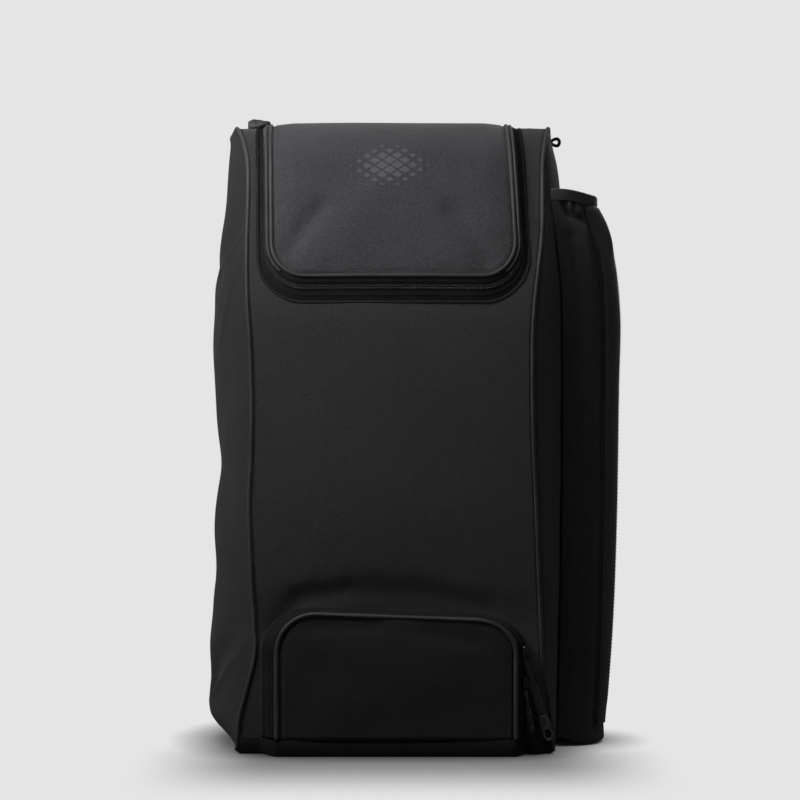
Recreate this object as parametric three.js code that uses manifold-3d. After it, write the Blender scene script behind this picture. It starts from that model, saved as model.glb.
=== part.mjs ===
// Junior cricket kit bag: an upright soft holdall that is worn on the back. A front panel runs up from
// the base, leans back and turns over the top; two full side panels, a back panel and a base close it.
// A U-shaped zip frees a padded lid, an arched zip opens a box pocket low on the front, and a long
// sleeve for the bat stands along the right side, open at its mouth.
// Frame: millimetres, +Z up, -Y the front, +X the right as seen from the front, origin on the floor at
// the middle of the base.
import * as THREE from "three";
import { mergeVertices } from "three/addons/utils/BufferGeometryUtils.js";
import Module from "manifold-3d";

const wasm = await Module();
wasm.setup();

// Body
const HEIGHT = 702; // floor to the seams at the top of the body
const DEPTH = 285; // front panel to back panel, at the base
const WIDTH = 348; // between the two front lines of piping, at the base
const SIDE_BULGE = { left: 46, right: 36 }; // how far a side panel swells past its seams
const SIDE_ROUND = { left: 0.8, right: 0.42 }; // 1 swells as a plain arch, less stays flat further out
const FRONT_CROWN = 9; // how far the front panel swells between its seams
const BACK_CROWN = 5;
const BACK_CORNER = 18; // radius where the top turns down into the back panel
const TOP_SPREAD = { left: 22, right: 10 }; // how much further out the back seam stands at the top
const CLOTH = 1.8; // wall of the padded polyester
const GAP = 0.3; // clearance between neighbouring pieces
const BASE_THICKNESS = 3;
const BASE_LIP = 18; // height of the base's turned-up front strip
const PIPING_RADIUS = 2.4;
const FOLD = { width: 24, depth: 7 }; // the broadest and the deepest fold that the tables share out

// Lid: left and right are its margins from the body's full half width, drop is how far its lower
// edge hangs below the top, hinge its margin from the back, lean how far it drifts left on the way up.
const LID = { left: 35, right: 43, drop: 179, corner: 38, hinge: 35, lean: 6 };
const LID_BAND = { left: 11, right: 16, below: 25, corner: 12, hinge: 8 }; // the zip's width round the lid
const LID_CROWN = 4;
const LID_EDGE = 12; // how far the lid's edge stands above the panel around it
const ZIP_TAPE = 1.4;
const COIL_HEIGHT = 1.8;

// Front pocket: an arch that stands out as a box. left and right are margins as on the lid, slant is
// how much lower its top line is on the right.
const POCKET = { left: 45, right: 42, top: 157, corner: 44, depth: 29, slant: 9 };
const POCKET_FLARE = { left: 17, top: 5, right: 12 }; // how far the zip spreads towards the body
const POCKET_CROWN = 6;

// Bat sleeve: front is how far behind the body's front it starts, drop how far below the top its
// mouth lies, reach how far it stands out from the body's full half width.
const SLEEVE = { front: 62, depth: 138, drop: 90, reach: 82 };
const SLEEVE_GATHER = { depth: 3.2, height: 60 };
const SLEEVE_BINDING = { height: 11, wall: 3 };
const SLEEVE_BASE = 2.4;
const WEBBING_THICKNESS = 1.4;

// Carrying straps on the back
const STRAP = { width: 58, thickness: 12, bow: 48 }; // bow is how far a strap stands off the back
const HANDLE = { width: 22, thickness: 4, length: 80, bow: 24, rise: 10, drop: 44 };

// Sliders and pulls. lean is how far a pull drifts to the right as it hangs, rest how far its foot
// hangs in front of the front panel.
const SLIDER = { length: 13, width: 8, thickness: 4 };
const LONG_PULL = { from: 113, length: 62, lean: 19, rest: 9, width: 9, thickness: 2.6 };
const SHORT_PULL = { from: 79, length: 48, lean: 8, rest: 11, width: 6, thickness: 2.4 };
const PULL_END = { length: 31, width: 12, thickness: 4, slot: 4.6 };
const LID_PULL = { length: 27, width: 6, thickness: 2 };
const ZIP_END = { length: 26, width: 12, thickness: 9 };
const LOOP = { length: 12, width: 10, thickness: 3, hole: 3.4, drop: 12 };

// The front edge of the body, one row for each cross-section from the floor up. up is a share of
// HEIGHT, back of DEPTH, left and right of half the WIDTH, swell of SIDE_BULGE, crown of FRONT_CROWN.
const SECTIONS = [
  { up: 0.0, back: 0.0, left: 1.0, right: 1.0, swell: { left: 0.14, right: 0.13 }, crown: 0.0 },
  { up: 0.028, back: 0.0, left: 0.99, right: 0.996, swell: { left: 0.72, right: 0.22 }, crown: 0.0 },
  { up: 0.053, back: -0.002, left: 0.98, right: 0.99, swell: { left: 0.9, right: 0.27 }, crown: 0.1 },
  { up: 0.097, back: -0.004, left: 0.936, right: 0.963, swell: { left: 0.96, right: 0.43 }, crown: 0.2 },
  { up: 0.153, back: -0.004, left: 0.883, right: 0.933, swell: { left: 1.08, right: 0.61 }, crown: 0.1 },
  { up: 0.205, back: 0.0, left: 0.888, right: 0.923, swell: { left: 1.0, right: 0.67 }, crown: 0.0 },
  { up: 0.265, back: -0.01, left: 0.9, right: 0.912, swell: { left: 0.94, right: 0.73 }, crown: 0.6 },
  { up: 0.34, back: -0.016, left: 0.914, right: 0.9, swell: { left: 0.91, right: 0.8 }, crown: 0.9 },
  { up: 0.403, back: -0.018, left: 0.918, right: 0.891, swell: { left: 0.85, right: 0.86 }, crown: 1.0 },
  { up: 0.463, back: -0.017, left: 0.906, right: 0.88, swell: { left: 0.84, right: 0.92 }, crown: 1.0 },
  { up: 0.55, back: -0.014, left: 0.904, right: 0.872, swell: { left: 0.87, right: 0.97 }, crown: 0.9 },
  { up: 0.64, back: -0.005, left: 0.913, right: 0.872, swell: { left: 0.91, right: 0.97 }, crown: 0.7 },
  { up: 0.7, back: 0.009, left: 0.931, right: 0.884, swell: { left: 0.8, right: 0.93 }, crown: 0.5 },
  { up: 0.76, back: 0.05, left: 0.943, right: 0.912, swell: { left: 0.7, right: 0.78 }, crown: 0.4 },
  { up: 0.82, back: 0.12, left: 0.947, right: 0.94, swell: { left: 0.52, right: 0.6 }, crown: 0.3 },
  { up: 0.88, back: 0.2, left: 0.947, right: 0.95, swell: { left: 0.38, right: 0.53 }, crown: 0.3 },
  { up: 0.935, back: 0.28, left: 0.957, right: 0.958, swell: { left: 0.27, right: 0.42 }, crown: 0.3 },
  { up: 0.972, back: 0.36, left: 0.992, right: 0.98, swell: { left: 0.17, right: 0.23 }, crown: 0.25 },
  { up: 0.993, back: 0.44, left: 1.03, right: 1.0, swell: { left: 0.08, right: 0.1 }, crown: 0.18 },
  { up: 1.0, back: 0.52, left: 1.05, right: 1.015, swell: { left: 0.04, right: 0.04 }, crown: 0.1 },
];
const TOP_STEPS = 3; // cross-sections along the flat top
const SIDE_STEPS = 10; // columns across a side panel
const FRONT_STEPS = 12; // columns across the front panel
const LID_STEPS = 14; // columns across the lid
const TURN_STEPS = 6; // steps round a corner of the lid or the pocket
const LEG_STEPS = 10; // steps up a leg of the lid
const SLEEVE_STEPS = 18; // columns round the sleeve
const WEBBING_STEPS = { from: 5, to: 9 }; // the columns of the sleeve that its webbing covers
const GATHER_STEPS = 7; // half waves of the gathers round the mouth
const EDGE_STEPS = 6; // steps along the straight edge of a lid or a pocket
const POCKET_STEPS = 10; // columns across the pocket
const BACK_STEPS = 6; // columns across the back panel
const HANDLE_STEPS = 8; // steps along the grab handle
const ZIP_END_STEPS = 4; // steps along the folded end of the zip

// The lid's edge on its way from the lower edge to the hinge. at is that share, rise a share of LID_EDGE.
const LID_RISE = [
  { at: 0.0, rise: 0.65 },
  { at: 0.3, rise: 1.0 },
  { at: 0.6, rise: 0.35 },
  { at: 0.8, rise: 0.25 },
  { at: 1.0, rise: 0.25 },
];

// Folds and hollows, each along a line on its panel. x0 to x1 run across in shares of half the WIDTH,
// or of DEPTH on a side panel, z0 to z1 up in shares of HEIGHT. wide is a share of FOLD.width and deep
// of FOLD.depth; the cloth rises where deep is negative.
const FRONT_FOLDS = [
  { x0: -0.69, z0: 0.265, x1: 0.34, z1: 0.253, wide: 1.0, deep: 0.86 },
  { x0: -0.4, z0: 0.6, x1: 0.34, z1: 0.47, wide: 2.5, deep: 0.43 },
];
const LID_FOLDS = [
  { x0: -0.68, z0: 0.772, x1: -0.41, z1: 0.857, wide: 0.67, deep: 1.0 },
  { x0: -0.55, z0: 0.755, x1: -0.3, z1: 0.83, wide: 0.62, deep: -0.57 },
  { x0: 0.56, z0: 0.77, x1: 0.32, z1: 0.85, wide: 0.67, deep: 1.0 },
  { x0: 0.4, z0: 0.8, x1: 0.42, z1: 0.84, wide: 0.58, deep: 0.43 },
];
const SIDE_FOLDS = [
  { x0: 0.09, z0: 0.849, x1: 0.42, z1: 0.762, wide: 0.92, deep: 1.0 },
  { x0: 0.07, z0: 0.188, x1: 0.39, z1: 0.105, wide: 0.83, deep: 1.14 },
  { x0: 0.21, z0: 0.427, x1: 0.77, z1: 0.47, wide: 1.25, deep: 0.57 },
];

// The sleeve from the floor up. up is a share of its mouth's height, reach of SLEEVE.reach.
const SLEEVE_REACH = [
  { up: 0.0, reach: 0.79 },
  { up: 0.04, reach: 0.78 },
  { up: 0.09, reach: 0.82 },
  { up: 0.24, reach: 0.9 },
  { up: 0.43, reach: 0.95 },
  { up: 0.67, reach: 0.98 },
  { up: 0.77, reach: 1.0 },
  { up: 0.83, reach: 0.98 },
  { up: 0.88, reach: 0.94 },
  { up: 0.92, reach: 0.88 },
  { up: 0.96, reach: 0.79 },
  { up: 1.0, reach: 0.68 },
];
const GATHER_ROWS = [0.86, 0.9, 0.93, 0.955, 0.98, 1.0]; // cross-sections under the mouth

// One shoulder strap from its sewn top end down. up is a share of HEIGHT, over of half the WIDTH, out
// of STRAP.bow, width of STRAP.width and thick of STRAP.thickness.
const STRAP_SECTIONS = [
  { up: 0.9, over: 0.29, out: 0.07, width: 0.9, thick: 0.42 },
  { up: 0.88, over: 0.29, out: 0.2, width: 0.97, thick: 0.75 },
  { up: 0.845, over: 0.3, out: 0.56, width: 1.0, thick: 0.92 },
  { up: 0.78, over: 0.316, out: 0.88, width: 1.0, thick: 1.0 },
  { up: 0.684, over: 0.356, out: 1.0, width: 1.0, thick: 1.0 },
  { up: 0.564, over: 0.437, out: 0.88, width: 0.97, thick: 1.0 },
  { up: 0.459, over: 0.53, out: 0.65, width: 0.86, thick: 0.83 },
  { up: 0.41, over: 0.57, out: 0.52, width: 0.47, thick: 0.33 },
  { up: 0.3, over: 0.644, out: 0.29, width: 0.43, thick: 0.25 },
  { up: 0.17, over: 0.713, out: 0.14, width: 0.43, thick: 0.25 },
  { up: 0.088, over: 0.736, out: 0.045, width: 0.43, thick: 0.25 },
];

const FLOOR = BASE_THICKNESS + GAP; // where the panels stand on the base
const FRONT = -DEPTH / 2;
const HALF = WIDTH / 2;
const SEAM = PIPING_RADIUS + GAP; // from a piping's centre to the edge of the cloth beside it
const LAST = SECTIONS.length - 1;

const V = (x, y, z) => new THREE.Vector3(x, y, z);
const mix = THREE.MathUtils.lerp;
const clamp = THREE.MathUtils.clamp;
const steps = (count) => Array.from({ length: count + 1 }, (_, i) => i / count);
const inside = (count) => steps(count).slice(1, -1);

// Straight lines through one column of a table whose rows rise in their key column.
function read(rows, key, column, value) {
  let i = 0;
  while (i < rows.length - 2 && value > rows[i + 1][key]) i++;
  const share = (value - rows[i][key]) / (rows[i + 1][key] - rows[i][key]);
  return mix(rows[i][column], rows[i + 1][column], clamp(share, 0, 1));
}

// How deep the folds of a table sink at one point of a panel that is span wide.
function sink(folds, span, x, z) {
  return folds.reduce((sum, fold) => {
    const [x0, z0] = [fold.x0 * span, fold.z0 * HEIGHT];
    const [dx, dz] = [fold.x1 * span - x0, fold.z1 * HEIGHT - z0];
    const along = clamp(((x - x0) * dx + (z - z0) * dz) / (dx * dx + dz * dz), 0, 1);
    const off = Math.hypot(x - x0 - along * dx, z - z0 - along * dz) / (fold.wide * FOLD.width);
    return sum + fold.deep * FOLD.depth * Math.exp(-off * off);
  }, 0);
}

// Solids

function toManifold(geometry) {
  const bare = geometry.clone();
  bare.deleteAttribute("normal");
  bare.deleteAttribute("uv");
  const merged = mergeVertices(bare, 1e-4);
  return new wasm.Manifold(
    new wasm.Mesh({
      numProp: 3,
      vertProperties: new Float32Array(merged.attributes.position.array),
      triVerts: new Uint32Array(merged.index.array),
    }),
  );
}

function toGeometry(manifold) {
  const mesh = manifold.getMesh();
  const positions = new Float32Array(mesh.numVert * 3);
  for (let i = 0; i < mesh.numVert; i++) {
    positions.set(mesh.vertProperties.subarray(i * mesh.numProp, i * mesh.numProp + 3), i * 3);
  }
  const geometry = new THREE.BufferGeometry();
  geometry.setAttribute("position", new THREE.BufferAttribute(positions, 3));
  geometry.setIndex(new THREE.BufferAttribute(new Uint32Array(mesh.triVerts), 1));
  return geometry;
}

const cut = (geometry, tool) => toGeometry(toManifold(geometry).subtract(toManifold(tool)));
const join = (first, second) => toGeometry(toManifold(first).add(toManifold(second)));

// A closed body from its points and faces, turned to face out.
function body(points, faces) {
  let volume = 0;
  for (const [a, b, c] of faces) {
    volume += points[a].dot(V(0, 0, 0).crossVectors(points[b], points[c]));
  }
  const geometry = new THREE.BufferGeometry().setFromPoints(points);
  geometry.setIndex(faces.flatMap(([a, b, c]) => (volume < 0 ? [a, c, b] : [a, b, c])));
  return geometry;
}

// A bar lofted through rings of equally many points, closed at both ends.
function loft(rings) {
  const sides = rings[0].length;
  const faces = [];
  for (let r = 0; r + 1 < rings.length; r++) {
    for (let i = 0; i < sides; i++) {
      const a = r * sides + i;
      const b = r * sides + ((i + 1) % sides);
      faces.push([a, b, b + sides], [a, b + sides, a + sides]);
    }
  }
  const end = (rings.length - 1) * sides;
  for (let i = 1; i + 1 < sides; i++) {
    faces.push([0, i + 1, i], [end, end + i, end + i + 1]);
  }
  return body(rings.flat(), faces);
}

const tangent = (path, i) =>
  path[Math.min(i + 1, path.length - 1)].clone().sub(path[Math.max(i - 1, 0)]).normalize();

// The direction out of a grid of points, at row r and column c.
function gridNormal(grid, r, c) {
  const up = tangent(grid.map((row) => row[c]), r);
  return tangent(grid[r], c).cross(up).normalize();
}

// A grid moved outwards by a distance that may differ from column to column.
const raise = (grid, lift) =>
  grid.map((row, r) =>
    row.map((point, c) => point.clone().addScaledVector(gridNormal(grid, r, c), lift(c))),
  );

// A sheet of cloth: the grid is its outer face, seen from outside with its columns running to the
// right and its rows running up, and the wall lies behind it.
function sheet(grid, wall) {
  const rows = grid.length;
  const columns = grid[0].length;
  const faces = [];
  const outer = grid.flat();
  const inner = raise(grid, () => -wall).flat();
  const back = outer.length;
  for (let r = 0; r + 1 < rows; r++) {
    for (let c = 0; c + 1 < columns; c++) {
      const a = r * columns + c;
      const [b, d, e] = [a + 1, a + columns, a + columns + 1];
      faces.push([a, b, e], [a, e, d], [back + a, back + e, back + b], [back + a, back + d, back + e]);
    }
  }
  const rim = [];
  for (let c = 0; c + 1 < columns; c++) rim.push(c);
  for (let r = 0; r + 1 < rows; r++) rim.push(r * columns + columns - 1);
  for (let c = columns - 1; c > 0; c--) rim.push((rows - 1) * columns + c);
  for (let r = rows - 1; r > 0; r--) rim.push(r * columns);
  rim.forEach((a, i) => {
    const b = rim[(i + 1) % rim.length];
    faces.push([a, back + a, back + b], [a, back + b, b]);
  });
  return body([...outer, ...inner], faces);
}

// A round cord of six sides along a path.
function cord(path, radius) {
  const sides = 6;
  return loft(
    path.map((point, i) => {
      const along = tangent(path, i);
      const u = V(0, 1, 0).addScaledVector(along, -along.y).normalize();
      const w = along.clone().cross(u);
      return Array.from({ length: sides }, (_, k) => {
        const turn = (2 * Math.PI * k) / sides;
        const across = u.clone().multiplyScalar(radius * Math.cos(turn));
        return point.clone().add(across).addScaledVector(w, radius * Math.sin(turn));
      });
    }),
  );
}

// A flat bar with softened edges, from rows that hold a middle, the directions of its width and its
// thickness, and both of those sizes.
const BAR_CORNERS = [
  [-0.5, -0.28],
  [-0.38, -0.5],
  [0.38, -0.5],
  [0.5, -0.28],
  [0.5, 0.28],
  [0.38, 0.5],
  [-0.38, 0.5],
  [-0.5, 0.28],
];
const bar = (rows) =>
  loft(
    rows.map(({ at, across, out, width, thick }) =>
      BAR_CORNERS.map(([a, b]) =>
        at.clone().addScaledVector(across, a * width).addScaledVector(out, b * thick),
      ),
    ),
  );

// The body's form

const heightOf = (k) => mix(FLOOR, HEIGHT, SECTIONS[k].up);
const named = (side) => (side < 0 ? "left" : "right");

// The front seam of one side at section k, and the rear seam level with it.
function frontSeam(side, k) {
  const row = SECTIONS[k];
  return V(side * HALF * row[named(side)], FRONT + row.back * DEPTH, heightOf(k));
}

function rearSeam(side, k) {
  const z = heightOf(k);
  const over = Math.max(z - (HEIGHT - BACK_CORNER), 0);
  const y = FRONT + DEPTH - BACK_CORNER + Math.sqrt(Math.max(BACK_CORNER ** 2 - over ** 2, 0));
  const spread = TOP_SPREAD[named(side)] * THREE.MathUtils.smoothstep(SECTIONS[k].up, 0.5, 1);
  return V(side * (HALF + spread), y, z);
}

// The whole seam of one side: up the front, back along the top and down the rear.
function seam(side) {
  const points = [];
  for (let k = 0; k <= LAST; k++) points.push(frontSeam(side, k));
  for (let i = 1; i < TOP_STEPS; i++) {
    points.push(frontSeam(side, LAST).lerp(rearSeam(side, LAST), i / TOP_STEPS));
  }
  for (let k = LAST; k >= 0; k--) points.push(rearSeam(side, k));
  return points;
}
const SEAMS = { left: seam(-1), right: seam(1) };
const SEAM_END = SEAMS.left.length - 1;
const WRAP_END = LAST + TOP_STEPS + 3; // the front panel ends just below the top's rear corner

// The outward direction of the seam's loop at a place counted in its points.
function seamOut(place) {
  const direction = (j) => {
    const along = tangent(SEAMS.left, j);
    return V(0, -along.z, along.y).normalize();
  };
  const i = Math.floor(clamp(place, 0, SEAM_END - 0.001));
  return direction(i).lerp(direction(i + 1), place - i).normalize();
}

function seamAt(side, place) {
  const points = SEAMS[named(side)];
  const i = Math.floor(clamp(place, 0, SEAM_END - 0.001));
  return points[i].clone().lerp(points[i + 1], place - i);
}

// The place on the front seam at a height.
function placeAt(z) {
  let k = 0;
  while (k < LAST - 1 && z > heightOf(k + 1)) k++;
  return k + (z - heightOf(k)) / (heightOf(k + 1) - heightOf(k));
}

// How far a point lies from both ends of its row, from 0 at the ends to 1 in the middle.
const middle = (share) => 1 - (2 * share - 1) ** 2;

// A point of the front panel's outer face, x across and place up and over, raised by lift.
function wrap(place, x, lift = 0) {
  const left = seamAt(-1, place);
  const right = seamAt(1, place);
  const across = clamp((x - left.x) / (right.x - left.x), 0, 1);
  const k = clamp(Math.floor(place), 0, LAST - 1);
  const crown = FRONT_CROWN * mix(SECTIONS[k].crown, SECTIONS[k + 1].crown, clamp(place - k, 0, 1));
  const fold = sink(FRONT_FOLDS, HALF, x, place < LAST ? left.z : HEIGHT);
  const swell = middle(across) * crown - Math.min(4 * middle(across), 1) * fold;
  const point = left.lerp(right, across).addScaledVector(seamOut(place), swell + lift);
  point.x = x;
  return point;
}

// A point of a side panel's outer face at section k, at a share of the way from front to rear.
function sidePoint(side, k, share) {
  const from = frontSeam(side, k).addScaledVector(seamOut(k), -SEAM);
  const to = rearSeam(side, k).addScaledVector(seamOut(SEAM_END - k), -SEAM);
  from.z = Math.max(from.z, FLOOR);
  to.z = Math.max(to.z, FLOOR);
  const point = from.lerp(to, share);
  const swell = Math.sin(Math.PI * share) ** SIDE_ROUND[named(side)];
  const fold = side < 0 ? sink(SIDE_FOLDS, DEPTH, point.y - FRONT, point.z) : 0;
  point.x += side * swell * (SIDE_BULGE[named(side)] * SECTIONS[k].swell[named(side)] - fold);
  return point;
}

// A side panel's outer face, its columns running to the right as seen from outside.
function sideGrid(side) {
  const shares = steps(SIDE_STEPS).map((share) => (side > 0 ? share : 1 - share));
  return SECTIONS.map((_, k) => shares.map((share) => sidePoint(side, k, share)));
}

// How far out a side panel stands at a height and a distance behind the front.
function sideReach(side, z, y) {
  const place = placeAt(clamp(z, FLOOR, HEIGHT));
  const k = Math.min(Math.floor(place), LAST - 1);
  const reach = (row) => {
    const from = sidePoint(side, row, 0).y;
    const to = sidePoint(side, row, 1).y;
    return Math.abs(sidePoint(side, row, clamp((y - from) / (to - from), 0, 1)).x);
  };
  return mix(reach(k), reach(k + 1), place - k);
}

// Body panels

function frontPanel() {
  const places = [placeAt(FLOOR), ...Array.from({ length: WRAP_END }, (_, i) => i + 1)];
  const grid = places.map((place) => {
    const left = seamAt(-1, place).x + SEAM;
    const right = seamAt(1, place).x - SEAM;
    return steps(FRONT_STEPS).map((share) => wrap(place, mix(left, right, share)));
  });
  return cut(sheet(grid, CLOTH), lidHole());
}

// How far the back panel swells at a height and a share of the way across.
const backSwell = (z, share) => {
  const height = clamp((z - FLOOR) / (HEIGHT - FLOOR), 0, 1);
  return BACK_CROWN * Math.sin(Math.PI * height) * Math.sin(Math.PI * share);
};

function backPanel() {
  const grid = [];
  for (let place = SEAM_END; place > WRAP_END; place--) {
    const left = seamAt(-1, place);
    const right = seamAt(1, place);
    grid.push(
      steps(BACK_STEPS).map((share) => {
        const x = mix(right.x - SEAM, left.x + SEAM, share);
        return V(x, right.y + backSwell(right.z, share), right.z);
      }),
    );
  }
  grid[grid.length - 1].forEach((point) => {
    point.z = seamAt(1, WRAP_END).z - GAP;
  });
  return sheet(grid, CLOTH);
}

// How far back the back panel stands at a point.
const backReach = (x, z) => FRONT + DEPTH + backSwell(z, clamp((x + HALF) / WIDTH, 0, 1));

// The base: a board under the whole bag and its pocket, with a strip turned up along the front.
function basePanel() {
  const reach = CLOTH + GAP;
  const lipTop = placeAt(BASE_LIP);
  const foot = [
    V(seamAt(-1, lipTop).x + SEAM, FRONT - reach, 0),
    V(-pocketLeft - POCKET_FLARE.left - reach, FRONT - reach, 0),
    V(-pocketLeft - reach, FRONT - POCKET.depth, 0),
    V(pocketRight + reach, FRONT - POCKET.depth, 0),
    V(pocketRight + POCKET_FLARE.right + reach, FRONT - reach, 0),
    V(seamAt(1, lipTop).x - SEAM, FRONT - reach, 0),
  ];
  const plan = new THREE.Shape();
  foot.forEach((p, i) => (i ? plan.lineTo(p.x, p.y) : plan.moveTo(p.x, p.y)));
  for (const side of [1, -1]) {
    for (const share of steps(SIDE_STEPS)) {
      const p = sidePoint(side, 0, side > 0 ? share : 1 - share);
      plan.lineTo(p.x, p.y);
    }
  }
  const board = new THREE.ExtrudeGeometry(plan, { depth: BASE_THICKNESS, bevelEnabled: false });
  const strip = foot.map((p, i) => {
    const along = tangent(foot, i);
    const inner = p.clone().addScaledVector(V(-along.y, along.x, 0), CLOTH);
    return [p.clone(), inner, inner.clone().setZ(BASE_LIP), p.clone().setZ(BASE_LIP)];
  });
  return join(board, loft(strip));
}

// Lid

const lidFlap = {
  left: HALF - LID.left,
  right: HALF - LID.right,
  bottom: HEIGHT - LID.drop,
  corner: LID.corner,
  back: DEPTH - LID.hinge,
};
const lidOpening = {
  left: lidFlap.left + LID_BAND.left,
  right: lidFlap.right + LID_BAND.right,
  bottom: lidFlap.bottom - LID_BAND.below,
  corner: lidFlap.corner + LID_BAND.corner,
  back: lidFlap.back + LID_BAND.hinge,
};

// A flap's outline drawn in by a distance, or let out where that is negative.
const drawnIn = (flap, by) => ({
  left: flap.left - by,
  right: flap.right - by,
  bottom: flap.bottom + by,
  corner: flap.corner - by,
  back: flap.back,
});

// The place of a flap's hinge on the flat top.
function hinge(flap) {
  const from = seamAt(-1, LAST).y;
  const to = seamAt(-1, LAST + TOP_STEPS).y;
  return LAST + (TOP_STEPS * (FRONT + flap.back - from)) / (to - from);
}

// The rows of a U-shaped flap from its lower edge up: a place on the panel and the two ends across.
function flapRows(flap) {
  const start = flap.bottom + flap.corner;
  const rows = steps(TURN_STEPS).map((share) => {
    const angle = (Math.PI / 2) * (1 - share);
    const inset = flap.corner * (1 - Math.cos(angle));
    const place = placeAt(start - flap.corner * Math.sin(angle));
    return { place, left: -flap.left + inset, right: flap.right - inset };
  });
  for (const share of steps(LEG_STEPS).slice(1)) {
    const place = mix(placeAt(start), hinge(flap), share);
    const drift = -LID.lean * Math.min(share / 0.5, 1);
    rows.push({ place, left: -flap.left + drift, right: flap.right + drift });
  }
  return rows;
}

// The U edge of a flap, from its hinge on the left, down, across and up to its hinge on the right.
function flapEdge(flap, pointAt) {
  const rows = flapRows(flap);
  return [
    ...[...rows].reverse().map((row) => pointAt(row.place, row.left)),
    ...inside(EDGE_STEPS).map((share) => {
      return pointAt(rows[0].place, mix(rows[0].left, rows[0].right, share));
    }),
    ...rows.map((row) => pointAt(row.place, row.right)),
  ];
}

const lidShare = (place) => {
  const low = placeAt(lidFlap.bottom);
  return clamp((place - low) / (hinge(lidFlap) - low), 0, 1);
};
const lidRise = (place) => LID_EDGE * read(LID_RISE, "at", "rise", lidShare(place));
const lidEdgePoint = (place, x) => wrap(place, x, lidRise(place) - CLOTH / 2);

function lidPanel() {
  const grid = flapRows(drawnIn(lidFlap, SEAM + GAP)).map((row) =>
    steps(LID_STEPS).map((share) => {
      const x = mix(row.left, row.right, share);
      const free = Math.min(3 * middle(share), 1);
      const reach = lidShare(row.place);
      const swell = LID_CROWN * free * Math.min(4 * reach, 1.6 * (1 - reach), 1);
      const height = row.place < LAST - 1 ? seamAt(-1, row.place).z : HEIGHT;
      const fold = sink(LID_FOLDS, HALF, x, height) * free;
      return wrap(row.place, x, lidRise(row.place) + swell - fold);
    }),
  );
  return sheet(grid, CLOTH);
}

const lidPiping = () => cord(flapEdge(lidFlap, lidEdgePoint), PIPING_RADIUS);

// The zip between the lid's edge and the opening in the front panel, its coil raised along the middle.
const LID_ZIP_COLUMNS = [0, 0.4, 0.5, 0.6, 0.8, 1];
function lidZip() {
  const inner = flapEdge(drawnIn(lidFlap, -SEAM - ZIP_TAPE), lidEdgePoint);
  const outer = flapEdge(drawnIn(lidOpening, GAP), (place, x) => wrap(place, x, -GAP));
  const grid = inner.map((a, i) => LID_ZIP_COLUMNS.map((share) => a.clone().lerp(outer[i], share)));
  const coil = (column) => (LID_ZIP_COLUMNS[column] === 0.5 ? COIL_HEIGHT : 0);
  return sheet(raise(grid, coil), ZIP_TAPE);
}

// The block that clears the opening out of the front panel.
function lidHole() {
  const edge = flapEdge(lidOpening, (place, x) => wrap(place, x, 0));
  const shape = new THREE.Shape();
  const above = HEIGHT + LID_EDGE + FRONT_CROWN;
  shape.moveTo(edge[0].x, above);
  edge.forEach((p) => shape.lineTo(p.x, p.z));
  shape.lineTo(edge[edge.length - 1].x, above);
  const length = lidOpening.back + FRONT_CROWN + LID_EDGE;
  const block = new THREE.ExtrudeGeometry(shape, { depth: length, bevelEnabled: false });
  block.rotateX(Math.PI / 2);
  block.translate(0, FRONT + lidOpening.back, 0);
  return block;
}

// A slider that lies on a zip, and what hangs from it.
function slider(at, out, along) {
  const across = along.clone().cross(out);
  const { width, thickness: thick } = SLIDER;
  return bar(
    [-0.5, 0.5].map((end) => ({
      at: at.clone().addScaledVector(along, end * SLIDER.length),
      across,
      out,
      width,
      thick,
    })),
  );
}

// The middle of the lid's right zip leg near its hinge, where its slider is parked.
function lidParking() {
  const place = hinge(lidFlap) - 1;
  const rows = [flapRows(lidFlap), flapRows(lidOpening)].map((all) => all[all.length - 1].right);
  const inner = lidEdgePoint(place, rows[0] + SEAM);
  const outer = wrap(place, rows[1], 0);
  const clear = COIL_HEIGHT + 2 * GAP + SLIDER.thickness / 2;
  return inner.lerp(outer, 0.5).add(V(0, 0, clear));
}

const lidSlider = () => slider(lidParking(), V(0, 0, 1), V(0, 1, 0));

function lidPull() {
  const start = lidParking().add(V(SLIDER.width / 2 + GAP, 0, 0));
  return bar(
    steps(1).map((share) => ({
      at: start.clone().add(V(share * LID_PULL.length, 0, 0)),
      across: V(0, 1, 0),
      out: V(0, 0, 1),
      width: LID_PULL.width,
      thick: LID_PULL.thickness,
    })),
  );
}

// The folded end of the zip tape, which lies on the lid's piping at the top left.
function zipEnd() {
  const place = hinge(lidFlap) - 2;
  const rows = flapRows(lidFlap);
  const edge = lidEdgePoint(place, rows[rows.length - 1].left);
  const z = edge.z + (PIPING_RADIUS + ZIP_END.thickness) / 2 + GAP;
  return bar(
    steps(ZIP_END_STEPS).map((share) => ({
      at: V(edge.x - ZIP_END.length * (1 - share), edge.y, z),
      across: V(0, 1, 0),
      out: V(0, 0, 1),
      width: ZIP_END.width,
      thick: ZIP_END.thickness * (1 - 0.3 * (1 - share) ** 2),
    })),
  );
}

// The small carrying loop sewn into the top right corner.
function cornerLoop() {
  const z = HEIGHT - LOOP.drop;
  const y = seamAt(1, LAST + 1).y;
  const outline = new THREE.Shape();
  outline.absellipse(0, 0, LOOP.width / 2, LOOP.length / 2, 0, 2 * Math.PI);
  const hole = new THREE.Path();
  hole.absellipse(0, 0, LOOP.hole / 2, LOOP.length / 2 - LOOP.hole, 0, 2 * Math.PI);
  outline.holes.push(hole);
  const options = { depth: LOOP.thickness, bevelEnabled: false, curveSegments: 8 };
  const loop = new THREE.ExtrudeGeometry(outline, options);
  loop.rotateX(Math.PI / 2);
  loop.translate(sideReach(1, z, y) + LOOP.width / 2 + GAP, y, z);
  return loop;
}

// Pocket

const pocketLeft = HALF - POCKET.left;
const pocketRight = HALF - POCKET.right;

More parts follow.
